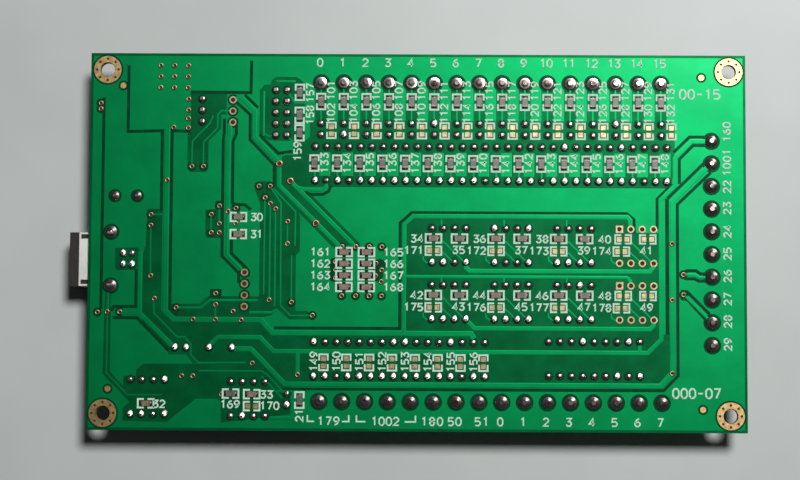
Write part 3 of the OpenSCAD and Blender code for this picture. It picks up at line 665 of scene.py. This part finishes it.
for x, y in axis_groups:
    narrow_tracks += [
        [(x + 2.5, y - 2.8), (x + 7.0, y - 7.2)],
        [(x + 2.4, y - 5.2), (x + 4.5, y - 7.2)],
        [(x - 1.9, y - 6.2), (x - 1.8, y - 7.1), (x - 0.9, y - 7.8)],
        [(x + 2.2, y), (x + 2.2, y + 2.0)],
    ]
for x in column_x:
    for track_x, start, end in ((x, 34.4, 32.6), (x, 30.2, 26.6), (x - 1.3, 16.4, 13.9)):
        narrow_tracks.append([(track_x, start), (track_x, end)])
for route, width in wide_tracks:
    add_band(bm, route, width, levels.next(), RISE)
for route in narrow_tracks:
    add_band(bm, route, NARROW, levels.next())
for x in column_x:
    add_band(bm, [(x + 0.9, 14.7), (x + 0.9, 20.0)], 2.5, levels.next(), RISE)
finish_piece("tracks", bm, copper_mask)
print("tracks reach", round(levels.height + RISE, 4), "mm above the pour")

# %% [markdown]
# ## Gilded pads and plated rings
#
# Where the mask is left open the gilded copper shows: rings round holes, square pads for
# chips that were never fitted, four round sight marks, and the broad rings round the
# mounting holes, each stitched to the other side by eight tiny plated holes. A ring is a
# short profile spun round its axis, so its rim is rounded; a pad is a small box with its
# upper edges bevelled. The holes go right through, so the same rings are stamped once
# more, turned over, on the component side.

# %% Ring and pad shapes
def spun(profile, segments):
    """A bmesh spun from the (radius, height) corners of a profile in mm."""
    bm = bmesh.new()
    verts = [bm.verts.new(Vector((r, 0, z)) * MM) for r, z in profile]
    edges = [bm.edges.new(pair) for pair in zip(verts, verts[1:])]
    bmesh.ops.spin(
        bm,
        geom=verts + edges,
        cent=(0, 0, 0),
        axis=(0, 0, 1),
        angle=math.tau,
        steps=segments,
        use_merge=True,
    )
    return bm


def ring_mesh(inner, outer, rise, segments):
    """A low ring with a rounded rim; sizes in mm."""
    profile = [(outer, 0.0), (outer - 0.04, rise), (inner + 0.05, rise), (inner, 0.0)]
    return free_to_mesh(spun(profile, segments))


def pad_mesh(length, width, rise):
    """A flat pad with bevelled upper edges; sizes in mm."""
    bm = bmesh.new()
    bmesh.ops.create_grid(bm, x_segments=1, y_segments=1, size=0.5 * MM)
    bmesh.ops.scale(bm, vec=(length, width, 1), verts=bm.verts)
    top = bmesh.ops.extrude_face_region(bm, geom=bm.faces[:])["geom"]
    lifted = [g for g in top if isinstance(g, bmesh.types.BMVert)]
    bmesh.ops.translate(bm, vec=(0, 0, rise * MM), verts=lifted)
    bmesh.ops.scale(bm, vec=(1 - 0.1 / length, 1 - 0.1 / width, 1), verts=lifted)
    low = [f for f in bm.faces if f.calc_center_median().z < 0.1 * rise * MM]
    bmesh.ops.delete(bm, geom=low, context="FACES_ONLY")
    return free_to_mesh(bm)


PAD_Z = levels.height + RISE + 0.002
PAD_RISE = 0.05
via_ring = ring_mesh(0.26, 0.64, PAD_RISE, 16)
wide_via_ring = ring_mesh(0.36, 0.86, PAD_RISE, 18)
leg_ring = ring_mesh(0.46, 0.86, PAD_RISE, 18)
mounting_ring = ring_mesh(1.62, 3.12, 0.06, 48)
print("ring and pad shapes ready")

# %% Plated rings of vias, and discs of painted shade for their holes
bm = bmesh.new()
stamp_all(bm, via_ring, vias, PAD_Z)
stamp_all(bm, wide_via_ring, wide_vias, PAD_Z)
finish_piece("via_rings", bm, plated_ring, smooth=True)

# flat brown discs of painted shade stand for the dark insides of the vias, the spare holes and the
# stitching holes of the mounting rings
bm = bmesh.new()
for place in vias:
    add_disc(bm, place, 0.3, PAD_Z + 0.01, 12)
for place in wide_vias + spare_three + spare_four + spare_dips:
    add_disc(bm, place, 0.5, PAD_Z + PAD_RISE + 0.006, 14)
STITCHES, STITCH_CIRCLE = 8, Vector((2.42, 0))
for x, y in mounting_holes:
    for i in range(STITCHES):
        turn = Matrix.Rotation(math.tau * i / STITCHES, 2)
        around = Vector((x, y)) + STITCH_CIRCLE @ turn
        add_disc(bm, around, 0.29, PAD_Z + 0.075, 10)
finish_piece("bore_shade_discs", bm, bore_shadow)

# %% Gilded rings, unused chip pads and sight marks
unused_standing = [(x + 2.35, 24.95) for x in column_x]
unused_standing += [(x + 0.98, -27.0) for x in column_x[:8]]
unused_lying = [(x + 0.4, y - 5.0) for x, y in axis_groups]
unused_lying += [(x + dx, y - 2.25) for x, y in spare_groups for dx in (0.8, 6.3)]
unused_lying += [(-36.6, -36.8)]

bm = bmesh.new()
stamp_all(bm, leg_ring, spare_dips + spare_three + spare_four, PAD_Z)
standing_pad = pad_mesh(1.2, 1.15, PAD_RISE)
lying_pad = pad_mesh(1.15, 1.2, PAD_RISE)
square_pad = pad_mesh(1.75, 1.75, 0.03)
for side in (-1, 1):
    stamp_all(bm, standing_pad, [(x, y + side * 0.8) for x, y in unused_standing], PAD_Z)
    stamp_all(bm, lying_pad, [(x + side * 0.85, y) for x, y in unused_lying], PAD_Z)
stamp_all(bm, square_pad, spare_groups, PAD_Z)
finish_piece("gilded_pads", bm, thin_gilding)

bm = bmesh.new()
stamp_all(bm, mounting_ring, mounting_holes, PAD_Z)
for place in SIGHT_MARKS:
    add_disc(bm, place, 0.68, PAD_Z + 0.03)
finish_piece("mounting_rings", bm, gilding)

# %% The same holes seen from the component side
bm = bmesh.new()
for ring, places in (
    (via_ring, vias),
    (wide_via_ring, wide_vias),
    (leg_ring, spare_dips + spare_three + spare_four),
    (mounting_ring, mounting_holes),
):
    ring.transform(Matrix.Rotation(math.pi, 4, "X"))
    stamp_all(bm, ring, places, -BOARD_T)
finish_piece("component_side_rings", bm, gilding, smooth=True, facing=-1)

# on the component side too, flat brown discs of painted shade stand for the dark insides of the
# vias
bm = bmesh.new()
for place in vias + wide_vias:
    add_disc(bm, place, 0.38, -BOARD_T - 0.012, 12)
finish_piece("component_side_bore_shade_discs", bm, bore_shadow, facing=-1)

# %% [markdown]
# ## White print
#
# The print is ink pushed through a screen: a box of two halves round every chip, small
# numbers beside the parts and larger ones along the terminals. Its digits are strokes of
# one width, so each is drawn once as a single route, built with the same bands as the
# tracks, and stamped where it is needed. Only plain numbers are used, one after another,
# in every place where a board carries its labels.

# %% Digits as strokes
DIGIT_STROKES = {
    # each corner as "x,y" in hundredths of the digit's width and height
    "0": "30,0 0,25 0,75 30,100 70,100 100,75 100,25 70,0 25,0",
    "1": "15,80 55,100 55,0",
    "2": "0,78 30,100 70,100 100,78 100,60 0,0 105,0",
    "3": "0,100 100,100 45,58 80,55 100,35 100,20 70,0 25,0 0,20",
    "4": "75,0 75,100 0,30 105,30",
    "5": "100,100 10,100 3,55 65,60 100,40 100,20 70,0 0,4",
    "6": "85,100 35,85 0,40 0,20 30,0 70,0 100,20 100,40 70,58 10,50",
    "7": "0,100 100,100 35,0",
    "8": "30,54 0,75 30,100 70,100 100,75 70,54 30,54 0,28 30,0 70,0 100,28 65,56",
    "9": "15,0 65,15 100,60 100,80 70,100 30,100 0,80 0,60 30,42 90,50",
    "-": "10,50 90,50",
}


def digit_meshes(width, height, stroke):
    """A mesh for each digit at that size in mm, its middle at the origin."""
    meshes = {}
    for sign, strokes in DIGIT_STROKES.items():
        corners = [[int(part) / 100 - 0.5 for part in pair.split(",")] for pair in strokes.split()]
        bm = bmesh.new()
        add_band(bm, [(x * width, y * height) for x, y in corners], stroke, 0.0)
        meshes[sign] = free_to_mesh(bm)
    return meshes


def add_number(bm, text, x, y, font, step, turn=0.0):
    """Stamps a number with its middle at (x, y) mm; step is the advance per digit."""
    along = Vector((math.cos(math.radians(turn)), math.sin(math.radians(turn))))
    for i, sign in enumerate(text):
        place = Vector((x, y)) + along * step * (i - (len(text) - 1) / 2)
        stamp(bm, font[sign], placed(*place, PRINT_Z, turn))


PRINT_Z = PAD_Z + PAD_RISE + 0.005
LINE, BOX_LINE = 0.34, 0.4
large_digits = digit_meshes(1.1, 1.7, 0.32)
small_digits = digit_meshes(1.02, 1.56, LINE)
word_digits = digit_meshes(1.3, 2.05, 0.38)
print("digits drawn:", "".join(DIGIT_STROKES))

# %% Boxes round the chips and places
def box_mesh(length, width):
    """Two brackets that stand round a chip of that outline in mm."""
    bm = bmesh.new()
    end, side_y = length / 2, width / 2
    for side in (-1, 1):
        bracket = [(0.4, -side_y), (end, -side_y), (end, side_y), (0.4, side_y)]
        add_band(bm, [(side * x, y) for x, y in bracket], BOX_LINE, 0.0)
    return free_to_mesh(bm)


chip_box = box_mesh(3.5, 1.9)
bm = bmesh.new()
stamp_all(bm, chip_box, standing_resistors + unused_standing, PRINT_Z, 90)
stamp_all(bm, chip_box, lying_resistors + lying_capacitors + unused_lying, PRINT_Z)

# %% Numbers beside the parts
upright = [(3, x + 2.2, y, 1.5) for x in column_x for y in (34.0, 28.9)]
upright += [(3, x + 0.85, 17.6, 1.6) for x in column_x]
upright += [(3, x - 1.2, -26.8, 1.5) for x in column_x[:8]]
upright += [(3, -24.2, 33.4, 1.5), (3, -24.2, 28.4, 1.5), (3, -26.9, 20.2, 1.5)]
upright += [(2, -26.0, -38.8, 1.5)]
upright += [(3, 69.2, 25.0, 1.55), (4, 69.2, 18.1, 1.55)]
upright += [(2, 69.2, y, 1.55) for y in (12.6, 7.8, 2.6, -2.4, -7.4, -12.5, -17.5, -22.6)]
level_labels = [(3, x, y, 1.55) for x in (-21.6, -5.3) for y in CONTROLLER_ROWS]
level_labels += [(2, -35.9, 5.35, 1.4), (2, -35.9, 1.5, 1.4), (2, -57.2, -36.4, 1.5)]
level_labels += [(3, -41.4, -36.4, 1.5), (2, -33.3, -34.2, 1.5), (3, -32.6, -36.7, 1.5)]
for x, y in axis_groups:
    level_labels += [(2, x - 3.3, y - 2.3, 1.5), (3, x - 4.0, y - 4.95, 1.5)]
    level_labels += [(2, x + 6.0, y - 4.8, 1.5)]
level_labels += [(3, -19.5, -40.0, 1.75), (4, -6.9, -40.0, 1.6), (3, 3.5, -40.0, 1.75)]
level_labels += [(2, 8.5, -40.0, 1.7), (2, 14.5, -40.0, 1.8)]
next_number = {2: 21, 3: 101, 4: 1001}
for labels, turn in ((upright, 90), (level_labels, 0)):
    for digits, x, y, step in labels:
        font = large_digits if y < -39 and not turn else small_digits
        add_number(bm, str(next_number[digits]), x, y, font, step, turn)
        next_number[digits] += 1
print("part numbers printed up to", next_number)

# %% Numbers along the terminals
for i, x in enumerate(column_x):
    add_number(bm, str(i), x - 0.3, 40.3, large_digits, 1.5)
for i in range(8):
    add_number(bm, str(i), 18.6 + 5.07 * i, -40.0, large_digits, 1.5)
# the two words are ranges of the numbers beside them
add_number(bm, "00-15", 63.2, 33.4, word_digits, 1.9)
add_number(bm, "000-07", 62.15, -33.5, word_digits, 1.83)
for upright_x, foot_x in ((-24.2, -22.7), (-15.0, -16.5), (-13.3, -11.3), (-0.2, -2.6)):
    add_band(bm, [(upright_x, -38.7), (upright_x, -40.1), (foot_x, -40.1)], LINE, PRINT_Z)
finish_piece("print", bm, print_ink)

# %% [markdown]
# ## Solder joints
#
# Hot solder climbs a lead and freezes as a shiny mound. Round the terminal pins it is
# broad, a steep rim and a nearly level shoulder. Round the chip legs it is small, and of
# two kinds: where the board left the solder wave the metal pooled and lies level on one
# side of the leg, elsewhere it is a plain skirt. A mound is one profile spun round its
# axis, and each is stamped with its own small tilt, turn and size, from a seeded random
# source so that the board is the same every time. The pooled ones all lean one way, as
# the wave left them. The chips' ends sit in low beads of solder. These mounds stand for
# the plain cones of the CAD model.

# %% Mound shapes
def spun_mesh(profile, segments):
    """A closed cap spun from (radius, height) steps in mm, the last on the axis."""
    bm = spun(profile, segments)
    bmesh.ops.remove_doubles(bm, verts=bm.verts, dist=1e-6)
    bmesh.ops.recalc_face_normals(bm, faces=bm.faces)
    if max(bm.faces, key=lambda f: abs(f.normal.z)).normal.z < 0:
        bmesh.ops.reverse_faces(bm, faces=bm.faces)
    return free_to_mesh(bm)


BROAD = [(1.5, -0.1), (1.47, 0.26), (1.36, 0.46), (1.26, 0.54), (0.6, 0.66)]
BROAD += [(0.48, 0.86), (0.4, 1.06), (0, 1.1)]
LEVEL_BROAD = [(1.5, -0.1), (1.47, 0.28), (1.38, 0.46), (1.26, 0.54), (1.16, 0.56)]
LEVEL_BROAD += [(0.62, 0.61), (0.5, 0.68), (0.4, 1.06), (0, 1.1)]
SKIRTED = [(0.8, -0.1), (0.77, 0.3), (0.64, 0.54), (0.52, 0.6), (0.2, 0.68), (0, 0.72)]
POOLED = [(0.84, -0.1), (0.8, 0.45), (0.65, 0.75), (0.55, 0.785), (0, 0.8)]
broad_mound = spun_mesh(BROAD, 20)
level_broad_mound = spun_mesh(LEVEL_BROAD, 20)
skirted_mound = spun_mesh(SKIRTED, 10)
pooled_mound = spun_mesh(POOLED, 12)
for vert in pooled_mound.vertices:
    if vert.co.y > 0:
        vert.co.x *= 1 - 0.5 * (vert.co.y / (0.84 * MM)) ** 2
        vert.co.y *= 1.3
chance = random.Random(7)


def add_mound(bm, mesh, place, size, spread, lean=(0, 0), turn=180):
    """Stamps a mound leaning by degrees along X and Y, give or take a spread."""
    along_x, along_y = (math.radians(a + chance.uniform(-spread, spread)) for a in lean)
    tilt = Euler((-along_y, along_x, 0)).to_matrix().to_4x4()
    grown = size * chance.uniform(0.94, 1.05)
    turned = Matrix.Rotation(math.radians(chance.uniform(-turn, turn)), 4, "Z")
    stamp(bm, mesh, placed(*place, 0.0, 0.0, grown) @ tilt @ turned)


# %% Broad joints of the terminals, the socket and the capacitor
bm = bmesh.new()
for place in terminal_places + usb_shell_places:
    shape = level_broad_mound if place in input_places else broad_mound
    lean = (-3, -3) if place in input_places and place[0] > 34 else (0, 0)
    add_mound(bm, shape, place, 1.0, 4, lean)
for place in capacitor_places:
    add_mound(bm, broad_mound, place, 0.78, 4)
broad_joints = finish_piece("broad_solder_joints", bm, solder, smooth=True)
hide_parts("terminal_solder_joints")

# %% Small joints, pooled where the wave left and skirted where it arrived
def wave_lean(x, y, share=1.0):
    """Degrees that the frozen solder leans towards +X and +Y at a place in mm."""
    return share * (5.6 - 0.084 * x), share * (6.7 - 0.084 * y)


pooled_rows = {13.63, -30.12, -38.67, -39.02} | {y - DIP_SPAN for _, y in axis_groups}
bm = bmesh.new()
for x, y in dip_leg_places + lamp_places + supply_places + usb_signal_places:
    share = 0.85 if y in pooled_rows or (x, y) in usb_signal_places + supply_places else 0.15
    if (x, y) in lamp_places:
        share = 0.2
    if chance.random() < share:
        add_mound(bm, pooled_mound, (x, y), 1.0, 2.5, wave_lean(x, y), 12)
    else:
        add_mound(bm, skirted_mound, (x, y), 0.95, 6, wave_lean(x, y, -0.35))
for place in header_places + jumper_places:
    add_mound(bm, skirted_mound, place, 1.1, 5)
small_joints = finish_piece("small_solder_joints", bm, solder, smooth=True)
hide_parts("pin_solder_joints")

# %% Beads at the ends of the chips
bm = bmesh.new()
bmesh.ops.create_uvsphere(bm, u_segments=10, v_segments=6, radius=0.6 * MM)
bmesh.ops.scale(bm, vec=(0.7, 1.0, 0.42), verts=bm.verts)
bead = free_to_mesh(bm)

bm = bmesh.new()
for places, turn in ((standing_resistors, 90), (lying_resistors + lying_capacitors, 0)):
    for x, y in places:
        for side in (-1, 1):
            shift = Matrix.Rotation(math.radians(turn), 2) @ Vector((side * 1.05, 0))
            size = chance.uniform(0.9, 1.06)
            stamp(bm, bead, placed(x + shift.x, y - shift.y, 0.08, turn, size))
finish_piece("chip_solder_beads", bm, dull_solder, smooth=True)

# %% [markdown]
# ## Finishes of the CAD parts
#
# The parts under the board keep their CAD shapes and get the finish of what they are
# made of: moulded nylon, nickel-plated steel, tinned brass, black epoxy, glazed ceramic.
# A moulded part is faintly grained by its mould, and a plated pin has a soft mirror. Each
# finish is named for its stuff, and one table at the end says which parts wear it. Leads
# are nipped off once they are soldered, so above that height they show a duller core.

# %% Plain finishes, each clouded and grained at its own scale
finish = {}
METALS = {
    # name: low colour, high colour, cloud mm, roughness, (grain mm, grain height mm)
    "zinc-plated steel": ("b4b8bb", "d2d5d6", 1.5, 0.33, (0.2, 0.008)),
    "tinned brass": ("b9b3ab", "dad6cf", 0.8, 0.19, (0.2, 0.006)),
    "tinned lead frame": ("a9a8a5", "cfcecb", 0.6, 0.28, (0.15, 0.006)),
    "nickel-plated steel": ("c4c4c0", "cecdc8", 2.5, 0.38, (0.5, 0.01)),
}
for name, recipe in METALS.items():
    finish[name] = metal(name, *recipe)
nylon_sheen = {"Roughness": 0.5, "Specular IOR Level": 0.25}
OTHER_FINISHES = {
    # name: low colour, high colour, cloud mm, constants, (grain mm, grain height mm)
    "moulded green nylon": ("368348", "3d8c50", 4, {"Roughness": 0.48}, (0.25, 0.012)),
    "moulded black nylon": ("15130f", "221f1a", 3, nylon_sheen, (0.2, 0.01)),
    "moulded black epoxy": ("17181b", "26272b", 2, {"Roughness": 0.62}, (0.12, 0.012)),
    "butyl rubber": ("141414", "202020", 1.5, {"Roughness": 0.75}, (0.15, 0.015)),
    "red lamp resin": (
        "a11a14", "c8332a", 1.2, {"Roughness": 0.2, "Coat Weight": 0.4}, (0.4, 0.003),
    ),
    "resistor glaze": ("3c3634", "554c4a", 0.7, {"Roughness": 0.4}, (0.12, 0.01)),
    "capacitor ceramic": ("5f4838", "7d6450", 0.7, {"Roughness": 0.5}, (0.12, 0.012)),
    "tinned chip end": (
        "4c403c", "6b5c56", 0.5, {"Metallic": 0.9, "Roughness": 0.42}, (0.12, 0.02),
    ),
}  # fmt: skip
for name, recipe in OTHER_FINISHES.items():
    finish[name] = new_surface(name, *recipe)
print(len(finish), "plain finishes")

# %% Cut ends of the leads
NIPPED_Z = 1.35
CUT_ENDS = {
    # finish: low colour, high colour, cloud mm
    "tinned brass": ("2c211c", "96877d", 4),
    "tinned lead frame": ("5f5652", "857b76", 1),
    "nickel-plated steel": ("6a6460", "8a837e", 1),
}
for name, (low, high, cloud_mm) in CUT_ENDS.items():
    tree = finish[name].node_tree
    shader = tree.nodes["Principled BSDF"]
    plating = shader.inputs["Base Color"].links[0].from_socket
    nipped = calc(tree, "GREATER_THAN", parts_of(tree, "Object")["Z"], NIPPED_Z * MM)
    ended = mixed(tree, nipped, plating, clouded(tree, low, high, cloud_mm))
    tree.links.new(ended, shader.inputs["Base Color"])

# %% [markdown]
# ### Two finishes with a pattern of their own
#
# The board itself needs three looks in one material: mask on its faces, raw sawn glass
# and epoxy on its edges, and plating in its holes. Which one applies comes from the way
# the surface faces and from how near it is to the outline. The capacitor wears a dark
# printed sleeve with a pale stripe down its negative side and a bare aluminium end.

# %% The board: mask on the faces, sawn edge, plated holes
board_finish, tree, shader = new_material("masked glass epoxy board", COPPER_SHINE)
upright_part = calc(tree, "ABSOLUTE", parts_of(tree, "Normal")["Z"])
is_face = calc(tree, "GREATER_THAN", upright_part, 0.5)
place = parts_of(tree, "Object")
near_rim = [
    calc(tree, "GREATER_THAN", calc(tree, "ABSOLUTE", place[axis]), (half - 0.05) * MM)
    for axis, half in (("X", HALF_X), ("Y", HALF_Y))
]
at_rim = calc(tree, "MAXIMUM", *near_rim)
wall = mixed(tree, at_rim, "b79a70", clouded(tree, "3f6b3a", "7f8a4e", 0.5))
skin = mixed(tree, is_face, wall, clouded(tree, *COPPER_GREENS))
tree.links.new(skin, shader.inputs["Base Color"])
for socket, off_face, on_face in (("Metallic", 0.1, COPPER_METAL), ("Roughness", 0.7, MASK_ROUGH)):
    limits = {"Value": is_face, "To Min": off_face, "To Max": on_face}
    ranged = add_node(tree, "ShaderNodeMapRange", limits)
    tree.links.new(ranged.outputs["Result"], shader.inputs[socket])
tree.links.new(roughened(tree, 1.6, 0.004), shader.inputs["Normal"])
print("board finish ready")

# %% The capacitor: printed sleeve, pale stripe and bare end
can_low, can_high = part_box("supply_capacitor_can")
sleeve, tree, shader = new_material("printed capacitor sleeve", {"Roughness": 0.35})
place = parts_of(tree, "Object")
stripe_x = can_low.x + 0.9 * (can_high.x - can_low.x)
stripe = calc(tree, "GREATER_THAN", place["X"], stripe_x)
end = calc(tree, "LESS_THAN", place["Z"], can_low.z + 0.3 * MM)
printed = mixed(tree, stripe, clouded(tree, "16191f", "20242c", 2), "b9bcbf")
whole = mixed(tree, end, printed, clouded(tree, "b9bbbd", "d0d2d3", 0.8))
tree.links.new(whole, shader.inputs["Base Color"])
tree.links.new(end, shader.inputs["Metallic"])
print("capacitor sleeve ready")

# %% Which CAD parts wear which finish
WORN_BY = {
    # finish: how the names of the CAD parts that wear it end
    "moulded green nylon": ("terminal_housing",),
    "moulded black nylon": ("header", "socket_insulator"),
    "moulded black epoxy": ("optocoupler", "output_driver", "analogue_amplifier")
    + ("microcontroller", "voltage_regulator", "supply_module"),
    "zinc-plated steel": ("terminal_clamps", "terminal_screws"),
    "tinned brass": ("terminal_pins",),
    "tinned lead frame": ("leads", "socket_contacts", "supply_pins", "header_pins"),
    "nickel-plated steel": ("socket_shell", "crystal"),
    "butyl rubber": ("bung",),
    "red lamp resin": ("lenses",),
    "resistor glaze": ("resistor_bodies",),
    "capacitor ceramic": ("capacitor_bodies",),
    "tinned chip end": ("caps",),
}
dressed = {"circuit_board": board_finish, "supply_capacitor_can": sleeve}
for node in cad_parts:
    stem = node.rstrip("_0123456789")
    for name, endings in WORN_BY.items():
        if stem.endswith(endings):
            dressed[node] = finish[name]
for node, material in dressed.items():
    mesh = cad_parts[node].data
    mesh.materials.clear()
    mesh.materials.append(material)
print("CAD parts without a finish:", sorted(set(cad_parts) - set(dressed)))

# %% [markdown]
# ## The bench, the light and the camera
#
# The board lies on a plain pale bench. One round lamp high up to the upper right gives
# the short, nearly black shadow along the lower edge and the bright spots on the solder.
# A large panel lower down on the same side is only there to be mirrored: it gives the
# flanks of the mounds and the tracks something to shine with, and lights nothing else. A
# faint even glow from all round keeps the shaded sides from going black. The camera looks
# almost straight down through a long lens, leaning a few degrees towards the near edge.

# %% Bench
REST_Z, BENCH_SIZE_M, HAIR = cad_box[0][2], 6, 0.02 * MM
bench_material = new_surface("pale painted bench", "abb0ae", "b1b6b4", 40, {"Roughness": 0.45})
bpy.ops.mesh.primitive_plane_add(size=BENCH_SIZE_M, location=(0, 0, REST_Z - HAIR))
bench = bpy.context.object
bench.name = "bench"
bench.data.materials.append(bench_material)

# %% Lamps
def add_lamp(name, place_mm, shape, size_mm, watts):
    """An area lamp that points at the middle of the board."""
    data = bpy.data.lights.new(name, "AREA")
    data.shape, data.size, data.energy = shape, size_mm * MM, watts
    lamp = bpy.data.objects.new(name, data)
    bpy.context.scene.collection.objects.link(lamp)
    lamp.location = Vector(place_mm) * MM
    lamp.rotation_euler = lamp.location.to_track_quat("Z", "Y").to_euler()
    return lamp


add_lamp("round_lamp", (294, 441, 1400), "DISK", 320, 22.6)
panel = add_lamp("gloss_panel", (600, 700, 560), "SQUARE", 600, 3.0)
panel.visible_diffuse = False
world = bpy.data.worlds.new("room")
world.use_nodes = True
glow = world.node_tree.nodes["Background"].inputs
glow["Color"].default_value = colour("e6ecee")
glow["Strength"].default_value = 0.035
bpy.context.scene.world = world
bpy.context.scene.view_settings.view_transform = "Standard"

# %% Camera
camera_data = bpy.data.cameras.new("camera")
camera_data.lens = 90
camera_data.sensor_width = 36
camera_data.clip_start = 0.01
camera = bpy.data.objects.new("camera", camera_data)
bpy.context.scene.collection.objects.link(camera)
camera.location = Vector((-0.96, -32.58, 445.6)) * MM
camera.rotation_euler = Euler([math.radians(a) for a in (4.23, 0.347, 0.305)], "XYZ")
bpy.context.scene.camera = camera
print("bench, lamps and camera placed")
